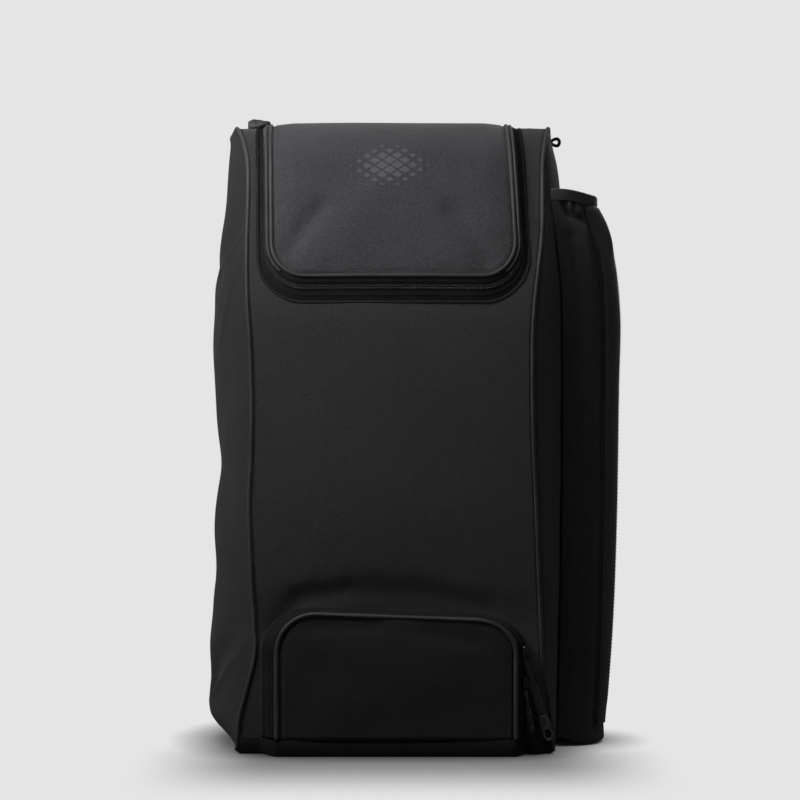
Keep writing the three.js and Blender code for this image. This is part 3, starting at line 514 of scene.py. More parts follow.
# Side cloths
# A full panel on each side swells out of its seams, baggy on the left and flatter on the right,
# where the bat's sleeve is sewn over it.
SIDE_BULGE = {-1: 0.046, 1: 0.036}
SIDE_ROUND = {-1: 0.8, 1: 0.42}
SIDE_HOLLOWS = [
    (0.026, 0.596, 0.12, 0.535, 0.022, 0.007),
    (0.012, 0.604, 0.085, 0.546, 0.0065, -0.0052),
    (0.02, 0.132, 0.111, 0.074, 0.02, 0.008),
    (0.012, 0.12, 0.09, 0.054, 0.007, -0.0042),
    (0.06, 0.3, 0.219, 0.33, 0.03, 0.004),
    (0.03, 0.56, 0.075, 0.45, 0.008, -0.0025),
    (0.05, 0.4, 0.1, 0.36, 0.02, 0.0025),
    (0.14, 0.2, 0.25, 0.24, 0.02, 0.004),
    (0.15, 0.55, 0.24, 0.5, 0.018, 0.004),
]


def side_point(side, place, share):
    """A point of a side cloth's outer face, at a share of the way from front to rear."""
    start = seam_at(side, place) - seam_out(place) * SEAM
    end = seam_at(side, SEAM_END - place) - seam_out(SEAM_END - place) * SEAM
    start.z, end.z = max(start.z, FLOOR), max(end.z, FLOOR)
    point = start.lerp(end, share)
    swell = math.sin(math.pi * clamp(share)) ** SIDE_ROUND[side]
    sunk = hollow(SIDE_HOLLOWS, point.y - FRONT, point.z) if side < 0 else 0
    bulge = SIDE_BULGE[side] * through([row[4 if side < 0 else 5] for row in LEVELS], place)
    point.x += side * swell * (bulge - sunk)
    return point


def side_reach(side, z, y):
    """How far out a side cloth stands at a height and a distance back."""
    place = place_at(clamp(z, FLOOR, HEIGHT))
    start, end = side_point(side, place, 0).y, side_point(side, place, 1).y
    return abs(side_point(side, place, clamp((y - start) / (end - start))).x)


SIDE_ROWS = 168
side_places, side_length = travel(SEAMS[-1][: LAST + 1], SIDE_ROWS)
# Painted shade: the left side cloth takes a darker copy of the body's polyester, about half as light,
# standing in for the shade that falls on that side.
shaded_dark, shaded_light = (0.0031, 0.0033, 0.0036), (0.009, 0.0094, 0.0104)
shaded_polyester = polyester("side_cloth", shaded_dark, shaded_light, 0.1, shine=0.28)


def side_cloth(side, name):
    def point_at(u, v):
        share = (1 - math.cos(math.pi * (u if side > 0 else 1 - u))) / 2
        point = side_point(side, side_places[round(v * SIDE_ROWS)], share)
        ends = min(share, 1 - share)
        reach = math.exp(-ends / 0.07) + math.exp(-point.z / 0.05) * 0.6
        point.x += side * crinkle(point, 7.7 * side, reach) * min(ends / 0.03, 1) * 1.6
        return point

    piece = lay(name, 76, SIDE_ROWS, point_at, (DEPTH * 1.08, side_length))
    give_wall(piece, CLOTH)
    dress(piece, shaded_polyester if side < 0 else bag_cloth, "cloth", name.replace("cloth", "panel"))


side_cloth(-1, "left_side_cloth")
side_cloth(1, "right_side_cloth")

# Back cloth
# A plain padded panel closes the back, flat where it lies against the wearer.
BACK_CROWN = 0.005
BACK_ROWS = 150


def back_swell(z, share):
    up = clamp((z - FLOOR) / (HEIGHT - FLOOR))
    return BACK_CROWN * math.sin(math.pi * up) * math.sin(math.pi * clamp(share))


def back_reach(x, z):
    return FRONT + DEPTH + back_swell(z, (x + HALF) / (2 * HALF))


back_places, back_length = travel(SEAMS[-1][WRAP_END:], BACK_ROWS)


def back_point(u, v):
    place = WRAP_END + back_places[round((1 - v) * BACK_ROWS)]
    left, right = seam_at(-1, place), seam_at(1, place)
    x = mix(right.x - SEAM, left.x + SEAM, u)
    z = min(max(right.z, FLOOR), seam_at(1, WRAP_END).z - 0.0003)
    point = Vector((x, right.y + back_swell(z, u), z))
    ends = min(u, 1 - u)
    point.y += crinkle(point, 5.3, math.exp(-ends / 0.05)) * min(ends / 0.03, 1)
    return point


back = lay("back_cloth", 80, BACK_ROWS, back_point, (2 * HALF, back_length))
give_wall(back, CLOTH)
dress(back, bag_cloth, "cloth", "back_panel")

# Side piping
# A cord wrapped in a bias strip runs up the front seam on each side, over the top and down the back.
PIPING = 0.0024


def frames_along(points):
    """Each point of a line with its direction there."""
    frames = []
    for i, point in enumerate(points):
        along = points[min(i + 1, len(points) - 1)] - points[max(i - 1, 0)]
        frames.append((point, along.normalized()))
    return frames


def cord(name, points, radius, sides=12, uneven=0.05):
    """A round cord along a line, its wrapping slightly uneven."""
    frames = frames_along(points)
    lengths = [0.0]
    for a, b in zip(points, points[1:]):
        lengths.append(lengths[-1] + (b - a).length)

    def point_at(u, v):
        point, along = frames[round(v * (len(points) - 1))]
        across = Vector((0, 1, 0)) - along * along.y
        if across.length < 0.2:
            across = Vector((1, 0, 0)) - along * along.x
        across.normalize()
        turn = 2 * math.pi * u
        out = across * math.cos(turn) + along.cross(across) * math.sin(turn)
        wobble = 1 + uneven * noise.noise(point * 90 + out * 0.8)
        return point + out * radius * wobble

    def uv_at(u, v):
        return u * 2 * math.pi * radius, lengths[round(v * (len(points) - 1))]

    return lay(name, sides, len(points) - 1, point_at, uv_at, merge=True)


def resample(points, step):
    """The same line with its points spaced evenly."""
    total = sum((b - a).length for a, b in zip(points, points[1:]))
    count = max(int(total / step), 2)
    places, _ = travel(points, count)
    return [through(points, place) for place in places]


def bias_cloth(name, dark, light, painted_light_from):
    """A strip of cloth cut aslant and wrapped round a cord, worn lighter in patches and painted lighter
    above a height as a highlight from the lamps above.
    """
    finish = Finish(name, Sheen_Weight=0.15, Sheen_Roughness=0.4, Specular_IOR_Level=0.4)
    where = finish.place()
    _, _, height = finish.split(where)
    u, v, _ = finish.split(finish.threads())
    bias = ((u + v) * (math.pi / 0.0007)).maths("SINE") * 0.5 + 0.5
    worn = finish.steer(finish.grain(where, 25.0, 3.0), 0.35, 0.7, 0.0, 0.6)
    # Painted light: above a height the cloth is painted lighter, a highlight standing in for the lamps
    # that light the top of the bag.
    wear_and_painted_light = finish.steer(height, painted_light_from, painted_light_from + 0.12, 0.0, 0.7)
    finish.set(
        Base_Color=finish.blend(dark, light, worn + wear_and_painted_light),
        Roughness=0.5 + worn * 0.12 + bias * 0.08,
    )
    finish.emboss(bias + finish.grain(where, 120.0, 2.0), 0.5, 0.0003)
    return finish


side_piping = bias_cloth("side_piping", (0.0045, 0.0045, 0.0046), (0.034, 0.0325, 0.0305), 0.53)
for side, name in ((-1, "left_piping_cord"), (1, "right_piping_cord")):
    piece = cord(name, resample(SEAMS[side], 0.0036), PIPING)
    dress(piece, side_piping, "piping", name.replace("_cord", ""))

# Base
# A board in coated cloth closes the bottom. It runs on under the pocket, and its front edge is
# turned up as a low strip; the right-hand corner is soft and pushed out.
LIP = 0.018
BASE = 0.003
BOARD = 0.0016
SOFT_CORNER = 0.153
BASE_CLEAR = 0.0021
POCKET_LEFT = 0.129
POCKET_RIGHT = 0.132
POCKET_DEPTH = 0.029
POCKET_FLARE = {"left": 0.017, "top": 0.005, "right": 0.012}


def foot_front(x):
    """How far forward the base reaches at a distance across."""
    left = ease(x, -POCKET_LEFT - POCKET_FLARE["left"] - 0.002, -POCKET_LEFT)
    right = 1 - ease(x, POCKET_RIGHT, POCKET_RIGHT + POCKET_FLARE["right"] + 0.002)
    stand = min(left, right) * (POCKET_DEPTH - BASE_CLEAR)
    lump = 0.009 * hump(x, SOFT_CORNER, 0.009)
    return FRONT - BASE_CLEAR - stand - lump * (1 - right * 0.6)


foot_left = [side_point(-1, 0, i / 60) for i in range(61)]
foot_right = [side_point(1, 0, i / 60) for i in range(61)]
lip_place = place_at(LIP)
lip_ends = seam_at(-1, lip_place).x + SEAM, seam_at(1, lip_place).x - SEAM


def base_point(u, v):
    x = mix(lip_ends[1], lip_ends[0], u)
    lump = hump(x, SOFT_CORNER, 0.012)
    if v < 0.2:
        fall = 1 - v / 0.2
        y = foot_front(x) - 0.0012 * math.sin(math.pi * fall)
        z = BASE + (LIP - BASE + 0.0016 * noise.noise(Vector((x * 26, 0, 2)))) * fall
        return Vector((x, y - 0.003 * lump * math.sin(math.pi * fall), z))
    if v < 0.26:
        turn = math.pi / 2 * (v - 0.2) / 0.06
        return Vector((x, foot_front(x) + BASE * (1 - math.cos(turn)), BASE * (1 - math.sin(turn))))
    share = (v - 0.26) / 0.74
    row = round(share * 60)
    spread = ease(share, 0, 0.08)
    x = mix(x, mix(foot_right[row].x, foot_left[row].x, u), spread)
    y = mix(foot_front(x) + BASE, foot_left[60].y, share)
    return Vector((x, y, 0))


base = lay("base_cloth", 120, 92, base_point, (0.36, 0.34))
give_wall(base, BOARD)
coated_dark, coated_light = (0.0012, 0.0012, 0.0013), (0.0052, 0.0052, 0.0055)
coated = polyester("coated_cloth", coated_dark, coated_light, 0.0, 0.0011, 0.2)
dress(base, coated, "cloth", "base_panel")

# Hem of the opening
# The front cloth's raw edge is folded under round the lid's opening and topstitched to the zip tape.
HEM_WIDTH = 0.0042
HEM_RISE = 0.0007


def edge_frames(edge, point_at):
    """Points along a U edge with the directions along it, out of the cloth and away from the flap."""
    points = [point_at(place, x) for place, x in edge]
    frames = []
    for (point, along), (place, _) in zip(frames_along(points), edge):
        out = seam_out(min(place, SEAM_END))
        away = out.cross(along).normalized()
        frames.append((point, along, out, away))
    return frames


def line_length(points):
    return sum((b - a).length for a, b in zip(points, points[1:]))


hem_frames = edge_frames(flap_edge(LID_OPENING, 100, 70), wrap)
hem_length = line_length([item[0] for item in hem_frames])


def hem_point(u, v):
    point, along, out, away = hem_frames[round(v * (len(hem_frames) - 1))]
    roll = math.sin(math.pi * min(u / 0.5, 1) / 2) * (1 - 0.75 * ease(u, 0.55, 1))
    waver = 1 + 0.18 * noise.noise(point * 60)
    return point - away * (u - 0.12) * HEM_WIDTH * waver + out * (HEM_RISE * roll - 0.0003 * (1 - u))


hem = lay("opening_hem", 10, len(hem_frames) - 1, hem_point, (HEM_WIDTH, hem_length))
dress(hem, coated, "cloth")


def from_lowest(face):
    """The same face told from its lowest corner on, so that each run lists it alike."""
    first = face.index(min(face))
    return face[first:] + face[:first]


def repeat(name, master, spots):
    """One mesh of many copies of a small shape."""
    corners = [vertex.co.copy() for vertex in master.data.vertices]
    faces = sorted(from_lowest(tuple(face.vertices)) for face in master.data.polygons)
    points, sides = [], []
    for spot in spots:
        first = len(points)
        points += [spot @ corner for corner in corners]
        sides += [tuple(first + i for i in face) for face in faces]
    mesh = bpy.data.meshes.new(name)
    mesh.from_pydata(points, [], sides)
    piece = bpy.data.objects.new(name, mesh)
    bpy.context.scene.collection.objects.link(piece)
    bpy.data.objects.remove(master)
    only(piece)
    bpy.ops.object.shade_smooth()
    return piece


def bead(segments, rings):
    bpy.ops.object.select_all(action="DESELECT")
    bpy.ops.mesh.primitive_uv_sphere_add(segments=segments, ring_count=rings, radius=0.5)
    return bpy.context.object


def spot(point, along, out, size):
    """Where one small shape goes: along, across and out of the cloth."""
    along = along.normalized()
    across = out.cross(along).normalized()
    turned = Matrix((along, across, along.cross(across))).transposed().to_4x4()
    return Matrix.Translation(point) @ turned @ Matrix.Diagonal((*size, 1))


STITCH = (0.0031, 0.0006, 0.0005)
STITCH_STEP = 0.0042


def stitch_line(points, outs):
    """The spots of a row of stitches laid along a line."""
    places, _ = travel(points, max(int(line_length(points) / STITCH_STEP), 1))
    spots = []
    for a, b in zip(places, places[1:]):
        start, end = through(points, a), through(points, b)
        out = through(outs, (a + b) / 2)
        spots.append(spot(start.lerp(end, 0.5) + out * 0.0001, end - start, out, STITCH))
    return spots


def sew(name, slot, rows):
    """Stitches in one mesh, in rows that are each a line and the directions out of the cloth."""
    spots = [place for points, outs in rows for place in stitch_line(points, outs)]
    dress(repeat(name, bead(6, 4), spots), thread, slot)


def specked(name, dark, light, rub, rough, bump, **constants):
    """A plain material rubbed lighter in specks. rub is the specks' scale, detail, start and end,
    rough the least roughness and what the specks add, and bump a grain's scale or none, its
    strength and its height."""
    finish = Finish(name, **constants)
    where = finish.place()
    specks = finish.steer(finish.grain(where, *rub[:2]), *rub[2:])
    finish.set(Base_Color=finish.blend(dark, light, specks), Roughness=rough[0] + specks * rough[1])
    scale, strength, height = bump
    finish.emboss(finish.grain(where, scale, 2.0) if scale else specks, strength, height)
    return finish


thread = specked(
    "thread",
    (0.013, 0.013, 0.013),
    (0.034, 0.034, 0.033),
    rub=(700.0, 1.0, 0.35, 0.65),
    rough=(0.42, 0.2),
    bump=(None, 0.4, 0.0002),
    Sheen_Weight=0.2,
)
line = [point - away * 0.4 * HEM_WIDTH + out * HEM_RISE * 0.9 for point, _, out, away in hem_frames]
sew("opening_stitches", "cloth", [(line, [item[2] for item in hem_frames])])

# Lid zip
# A nylon coil zip runs in a U between the lid and the opening: two tapes, each with a ribbed edge,
# and the coil's interlocked loops between them.
LID_EDGE = 0.012
LID_RISE = [0.65, 0.88, 0.8, 0.37, 0.25, 0.25]
TAPE = 0.0012
TOOTH = 0.0021
LOOP_SIZE = (0.0014, 0.0017)


def drawn_in(flap, by):
    return {
        "left": flap["left"] - by,
        "right": flap["right"] - by,
        "bottom": flap["bottom"] + by,
        "corner": flap["corner"] - by,
        "back": flap["back"],
    }


lid_low = place_at(LID_FLAP["bottom"])
lid_hinge = hinge(LID_FLAP)


def lid_share(place):
    return clamp((place - lid_low) / (lid_hinge - lid_low))


def lid_rise(place):
    return LID_EDGE * through(LID_RISE, lid_share(place) * 5)


zip_inner = flap_edge(drawn_in(LID_FLAP, -SEAM - 0.0006), 100, 70)
zip_outer = flap_edge(drawn_in(LID_OPENING, 0.0004), 100, 70)
zip_rows = len(zip_inner) - 1
zip_starts = [wrap(place, x, lid_rise(place) - 0.0012) for place, x in zip_inner]
zip_ends = [wrap(place, x, -0.0006) for place, x in zip_outer]
zip_alongs = [along for _, along in frames_along([a.lerp(b, 0.5) for a, b in zip(zip_starts, zip_ends)])]
zip_length = line_length(zip_starts)


def relief(share, ribs, trough):
    """A zip's face: its tapes' ribbed edges stand up, and the coil lies in a shallow trough."""
    height, *humps = ribs
    depth, middle = trough
    return height * sum(hump(share, *rib) for rib in humps) - depth * hump(share, middle, 0.1)


def zip_point(share, row, lift=0.0):
    start, end = zip_starts[row], zip_ends[row]
    out = (end - start).cross(zip_alongs[row]).normalized()
    stand = relief(share, (0.0005, (0.17, 0.045), (0.76, 0.05)), (0.0007, 0.42))
    return start.lerp(end, share) + out * (stand + lift), out


tape_piece = lay(
    "lid_zip_tape", 28, zip_rows, lambda u, v: zip_point(u, round(v * zip_rows))[0], (0.022, zip_length)
)
give_wall(tape_piece, TAPE * 0.6)
zip_tape = Finish("zip_tape", Sheen_Weight=0.03, Sheen_Roughness=0.4, Specular_IOR_Level=0.16)
where = zip_tape.place()
u, v, _ = zip_tape.split(zip_tape.threads())
ribs = (v * (math.pi / 0.0006)).maths("SINE") * (u * (math.pi / 0.0009)).maths("SINE") * 0.5 + 0.5
faded = zip_tape.steer(zip_tape.grain(where, 30.0, 3.0), 0.35, 0.7)
zip_tape.set(
    Base_Color=zip_tape.blend((0.002, 0.002, 0.0022), (0.007, 0.007, 0.007), faded * 0.6 + ribs * 0.4),
    Roughness=0.7 + ribs * 0.12,
)
zip_tape.emboss(ribs, 0.5, 0.0003)
dress(tape_piece, zip_tape, "zip", "lid_zip")


coil_plastic = specked(
    "coil_plastic",
    (0.013, 0.013, 0.014),
    (0.05, 0.0495, 0.0485),
    rub=(300.0, 2.0, 0.45, 0.75),
    rough=(0.32, 0.25),
    bump=(None, 0.2, 0.0001),
)


def lay_coil(name, rows, at, width):
    """Two rows of interlocked loops along a zip, each loop set a little aslant."""
    spots = []
    for side in (-1, 1):
        line = [at(row, side * 0.5) for row in range(rows + 1)]
        points, outs = [item[0] for item in line], [item[1] for item in line]
        places, _ = travel(points, int(line_length(points) / TOOTH))
        for a, b in zip(places, places[1:]):
            place = mix(a, b, 0.5 if side > 0 else 0.0)
            near, far = through(points, max(place - 0.3, 0)), through(points, min(place + 0.3, rows))
            out = through(outs, place).normalized()
            along = (far - near).normalized()
            aslant = out.cross(along) + along * 0.3 * side
            spots.append(spot(through(points, place), aslant, out, (width, *LOOP_SIZE)))
    dress(repeat(name, bead(8, 5), spots), coil_plastic, "zip")


lay_coil("lid_zip_coil", zip_rows, lambda row, side: zip_point(0.42 + side * 0.1, row, 0.0006), 0.0032)

# Lid
# A padded flap lies over the opening. Its cloth is smoother than the body's and painted lighter, as
# painted light for the lid's lean up towards the lamps; it is crowned by the foam behind it and dented
# at its lower corners, and it carries a small printed lattice.
LID_CROWN = 0.004
LID_HOLLOWS = [
    (-0.125, 0.543, -0.082, 0.598, 0.0115, 0.0042),
    (-0.09, 0.545, -0.05, 0.575, 0.026, -0.0022),
    (-0.085, 0.6, -0.05, 0.64, 0.03, 0.002),
    (0.105, 0.541, 0.064, 0.593, 0.0115, 0.0036),
    (0.074, 0.548, 0.04, 0.575, 0.026, -0.0018),
    (0.066, 0.6, 0.05, 0.635, 0.03, 0.0018),
]
LID_ROWS = 130
lid_flap = drawn_in(LID_FLAP, SEAM - 0.0004)


def arc_at(place):
    """How far along the front cloth a place is, from the floor."""
    i = 0
    while i < FRONT_ROWS - 1 and front_places[i + 1] < place:
        i += 1
    share = (place - front_places[i]) / (front_places[i + 1] - front_places[i])
    return (i + clamp(share)) * front_length / FRONT_ROWS


def lid_place(u, v):
    place, left, right = flap_row(lid_flap, round(v * LID_ROWS) / LID_ROWS)
    return place, left, right, mix(left, right, u)


def lid_point(u, v):
    place, left, right, x = lid_place(u, v)
    free = min(3 * arch(u), 1)
    z = seam_at(-1, place).z if place < LAST else HEIGHT
    reach = lid_share(place)
    swell = LID_CROWN * free * min(4 * reach, 1.6 * (1 - reach), 1)
    low = (place - lid_low) * 0.04
    edge = min(x - left, right - x, max(z - lid_flap["bottom"], 0) + low)
    roll = 0.0021 * math.exp(-edge / 0.005)
    point = wrap(place, x, lid_rise(place) + swell - roll - hollow(LID_HOLLOWS, x, z) * free)
    reach = math.exp(-edge / 0.018) * 0.7
    return point + seam_out(place) * crinkle(point, 9.4, reach) * min(edge / 0.006, 1)


def lid_uv(u, v):
    place, _, _, x = lid_place(u, v)
    return x, arc_at(place)


lid = lay("lid_cloth", 76, LID_ROWS, lid_point, lid_uv)
give_wall(lid, CLOTH)
# Painted light: the lid's cloth is the body's black polyester painted about twice as light, standing in
# for the light that the lid catches as it leans up towards the lamps.
lid_lit_polyester = polyester("lid_lit_polyester", (0.0125, 0.0129, 0.0148), (0.0385, 0.0396, 0.0452), 0.25)


def lattice(finish, middle_u, middle_v, pitch, reach_u, reach_v):
    """A field of small rhombi that shrink towards its rim."""
    u, v, _ = finish.split(finish.threads())
    u, v = u - middle_u, v - middle_v
    first = abs(((u * 0.75 + v) * (1 / pitch)).maths("FRACT") - 0.5)
    second = abs(((u * 0.75 - v) * (1 / pitch)).maths("FRACT") - 0.5)
    rim = ((u * (1 / reach_u)) ** 2.0 + (v * (1 / reach_v)) ** 2.0).maths("SQRT")
    size = finish.steer(rim, 0.15, 1.0, 0.42, 0.0)
    return (size - first.maths("MAXIMUM", second)) * 30.0


def print_on(finish, mask, colour, strength):
    """Lays a matt print of a colour over the finish where the mask is above 0."""
    inked = finish.steer(mask, 0.0, 1.0, 0.0, strength)
    under = finish.shader.inputs["Base Color"].links[0].from_socket
    finish.set(Base_Color=finish.blend(Value(finish, under), colour, inked))


rhombi = lattice(lid_lit_polyester, -0.006, 0.66, 0.013, 0.062, 0.04)
print_on(lid_lit_polyester, rhombi, (0.075, 0.075, 0.08), 0.9)
dress(lid, lid_lit_polyester, "lid_cloth", "lid_panel")


def lid_edge_point(place, x):
    return wrap(place, x, lid_rise(place) - CLOTH / 2)


lid_line = [lid_edge_point(place, x) for place, x in flap_edge(LID_FLAP, 100, 70)]
lid_cord = cord("lid_piping_cord", resample(lid_line, 0.0032), PIPING)
piping_cloth = bias_cloth("piping_cloth", (0.014, 0.0135, 0.013), (0.036, 0.0345, 0.0325), 0.55)
dress(lid_cord, piping_cloth, "piping", "lid_piping")
# Down each leg the zip's inner tape is folded over into a slim roll beside the piping.
ROLL = 0.0017
roll_edge = flap_edge(drawn_in(LID_FLAP, -2.7 * ROLL), 60, 40)
for name, part in (("left_tape_roll", roll_edge[:70]), ("right_tape_roll", roll_edge[:-71:-1])):
    sinks = [0.0008 + 0.002 * ease(i, 50, 69) for i in range(len(part))]
    line = [wrap(place, x, lid_rise(place) - sink) for (place, x), sink in zip(part, sinks)]
    dress(cord(name, resample(line, 0.0034), ROLL, 8), piping_cloth, "zip")
LID_TOPSTITCH = 0.0075
stitch_edge = flap_edge(drawn_in(LID_FLAP, LID_TOPSTITCH), 80, 60)
stitch_points = [wrap(place, x, lid_rise(place) + 0.0006) for place, x in stitch_edge]
sew("lid_stitches", "lid_cloth", [(stitch_points, [seam_out(place) for place, _ in stitch_edge])])

# Front pocket
# An arched panel stands out from the front like a shallow box. Its cloth is sewn to piping, and a
# zip gusset leads back from the piping to the bag.
POCKET_TOP = 0.157
POCKET_CORNER = 0.044
POCKET_SLANT = 0.009
POCKET_CROWN = 0.006
POCKET_ROWS = 64
POCKET_HOLLOWS = [
    (-0.112, 0.03, -0.085, 0.1, 0.02, 0.0014),
    (-0.09, 0.14, -0.02, 0.143, 0.009, 0.0018),
    (0.11, 0.03, 0.088, 0.09, 0.02, 0.0016),
    (0.03, 0.136, 0.09, 0.125, 0.01, 0.0018),
    (-0.03, 0.035, 0.06, 0.05, 0.025, 0.0022),
    (-0.07, 0.09, -0.01, 0.075, 0.02, 0.0014),
]


def pocket_row(spread, share):
    """Height, left end, right end and turn of one row of the arch; the legs take the first part."""
    start = POCKET_TOP - POCKET_CORNER
    if share < 0.35:
        z = mix(LIP + 0.0003, start, share / 0.35)
        return z, -POCKET_LEFT - spread["left"], POCKET_RIGHT + spread["right"], 0
    angle = math.pi / 2 * (share - 0.35) / 0.65
    inset = (POCKET_CORNER - min(spread["top"], 0)) * (1 - math.cos(angle))
    z = start + (POCKET_CORNER + spread["top"]) * math.sin(angle)
    left = -POCKET_LEFT - spread["left"] * math.cos(angle) + inset
    return z, left, POCKET_RIGHT + spread["right"] * math.cos(angle) - inset, math.sin(angle)


def slanted(z, x, turn):
    return z - POCKET_SLANT * turn * clamp(0.5 + x / (2 * POCKET_LEFT))


def evenly(by):
    return {"left": by, "top": by, "right": by}


def pocket_edge(spread, rows=60, across=56):
    """The arch from its left foot up, over and down to its right foot, as x and z."""
    stations = [pocket_row(spread, i / rows) for i in range(rows + 1)]
    edge = [(left, slanted(z, left, turn)) for z, left, _, turn in stations]
    z, left, right, turn = stations[-1]
    for i in range(1, across):
        x = mix(left, right, i / across)
        edge.append((x, slanted(z, x, turn)))
    return edge + [(right, slanted(z, right, turn)) for z, _, right, turn in reversed(stations)]


def pocket_point(u, v):
    z, left, right, turn = pocket_row(evenly(-SEAM + 0.0004), round(v * POCKET_ROWS) / POCKET_ROWS)
    x = mix(left, right, u)
    z = slanted(z, x, turn)
    up = math.sin(math.pi * clamp(z / POCKET_TOP)) ** 0.7
    edge = min(x - left, right - x, POCKET_TOP - z + 0.004)
    swell = POCKET_CROWN * arch(u) * up - hollow(POCKET_HOLLOWS, x, z) * min(4 * arch(u), 1)
    roll = 0.0018 * math.exp(-max(edge, 0) / 0.004)
    point = Vector((x, FRONT - POCKET_DEPTH - swell + roll, z))
    point.y -= crinkle(point, 12.5, math.exp(-max(edge, 0) / 0.02)) * clamp(edge / 0.006)
    return point


def pocket_uv(u, v):
    z, left, right, _ = pocket_row(evenly(-SEAM), round(v * POCKET_ROWS) / POCKET_ROWS)
    return mix(left, right, u), z


pocket = lay("pocket_cloth", 68, POCKET_ROWS, pocket_point, pocket_uv)
give_wall(pocket, CLOTH)
# Painted shade: the pocket's cloth is a darker copy of the body's polyester, about 0.6 times as light,
# standing in for the shade that falls on the lower front.
pocket_shaded_dark, pocket_shaded_light = (0.0035, 0.0037, 0.0041), (0.0105, 0.011, 0.0122)
pocket_shaded_polyester = polyester("pocket_cloth", pocket_shaded_dark, pocket_shaded_light, 0.08, shine=0.28)
dress(pocket, pocket_shaded_polyester, "cloth", "pocket_panel")
pocket_line = [Vector((x, FRONT - POCKET_DEPTH, z)) for x, z in pocket_edge(evenly(0))]
pocket_cord = cord("pocket_piping_cord", resample(pocket_line, 0.003), PIPING)
dress(pocket_cord, piping_cloth, "piping", "pocket_piping")
POCKET_TOPSTITCH = 0.0078
stitch_edge = pocket_edge(evenly(-POCKET_TOPSTITCH), 40, 40)
stitch_points = [Vector((x, FRONT - POCKET_DEPTH + 0.0002, z)) for x, z in stitch_edge]
sew("pocket_stitches", "cloth", [(stitch_points, [Vector((0, -1, 0))] * len(stitch_points))])

gusset_back = [
    Vector((x, wrap(place_at(z), x).y - 0.0023, z)) for x, z in pocket_edge(POCKET_FLARE)
]
gusset_front = [point + Vector((0, SEAM, 0)) for point in pocket_line]
gusset_rows = len(gusset_back) - 1
gusset_middle = [a.lerp(b, 0.5) for a, b in zip(gusset_back, gusset_front)]
gusset_alongs = [along for _, along in frames_along(gusset_middle)]


def gusset_point(share, row, lift=0.0):
    start, end = gusset_back[row], gusset_front[row]
    out = gusset_alongs[row].cross(end - start).normalized()
    stand = relief(share, (0.0009, (0.2, 0.05), (0.78, 0.05)), (0.0005, 0.48))
    return start.lerp(end, share) + out * (stand + lift), out


gusset = lay(
    "pocket_zip_tape",
    26,
    gusset_rows,
    lambda u, v: gusset_point(u, gusset_rows - round(v * gusset_rows))[0],
    (0.03, 0.45),
)
give_wall(gusset, TAPE * 0.6)
dress(gusset, zip_tape, "zip", "pocket_zip")
lay_coil(
    "pocket_zip_coil",
    gusset_rows,
    lambda row, side: gusset_point(0.48 + side * 0.09, row, 0.0006),
    0.003,
)
# The welt takes the same darker copy of the body's polyester, painted shade.
welt = cord("pocket_welt", resample([p + Vector((0, 0.0008, 0)) for p in gusset_back], 0.004), 0.0013, 8)
dress(welt, shaded_polyester, "cloth")

# Bat sleeve
# A long open tube of smoother nylon stands along the right side. It is gathered under a bound
# mouth and stiffened by a strip of ribbed webbing sewn down its outer front.
SLEEVE_FRONT = 0.062
SLEEVE_DEPTH = 0.138
SLEEVE_STANDS = 0.082
SLEEVE_MOUTH = HEIGHT - 0.09
SLEEVE_GAP = 0.0009
GATHER = {"reach": 0.06, "depth": 0.0042, "folds": 7}
# How far the sleeve stands out at each level: share of the mouth's height, share of SLEEVE_STANDS.
SLEEVE_FORM = [
    (0.0, 0.79),
    (0.04, 0.78),
    (0.09, 0.82),
    (0.24, 0.9),
    (0.43, 0.95),
    (0.67, 0.98),
    (0.77, 1.0),
    (0.83, 0.98),
    (0.88, 0.94),
    (0.92, 0.88),
    (0.96, 0.79),
    (1.0, 0.68),
]


def graph(table, where):
    """A smooth line through a table of places and values."""
    i = 0
    while i < len(table) - 2 and where > table[i + 1][0]:
        i += 1
    (x0, y0), (x1, y1) = table[i], table[i + 1]
    before, after = table[max(i - 1, 0)], table[min(i + 2, len(table) - 1)]
    t = clamp((where - x0) / (x1 - x0))
    start = (y1 - before[1]) / (x1 - before[0]) * (x1 - x0)
    end = (after[1] - y0) / (after[0] - x0) * (x1 - x0)
    held = (2 * t**3 - 3 * t**2 + 1) * y0 + (3 * t**2 - 2 * t**3) * y1
    return held + (t**3 - 2 * t**2 + t) * start + (t**3 - t**2) * end


def sleeve_point(share, z, lift=0.0):
    """A point of the sleeve's outer face, at a share of the way round from front to rear."""
    start = FRONT + SLEEVE_FRONT
    out = HALF + SLEEVE_STANDS * graph(SLEEVE_FORM, clamp(z / SLEEVE_MOUTH))
    out -= side_reach(1, z, start + SLEEVE_DEPTH / 2)
    under = clamp(1 - (SLEEVE_MOUTH - z) / GATHER["reach"])
    gather = 4 * under * (1 - under) * GATHER["depth"]
    turn = math.pi * share
    forward = squared(math.cos(turn), 0.8)
    y = start + SLEEVE_DEPTH / 2 * (1 - forward)
    wall = clamp(y + (CLOTH if share < 0.5 else -CLOTH), FRONT, -FRONT)
    bulge = math.sin(turn) ** 0.8
    ripple = gather * math.cos(GATHER["folds"] * turn) * math.sin(turn)
    hang = 0.0035 * hump(share, 0.13, 0.05) * ease(z, 0.3, 0.45) * (1 - under)
    x = side_reach(1, z, wall) + SLEEVE_GAP + out * bulge - ripple - hang
    return Vector((x + lift * bulge, y - lift * forward, z))


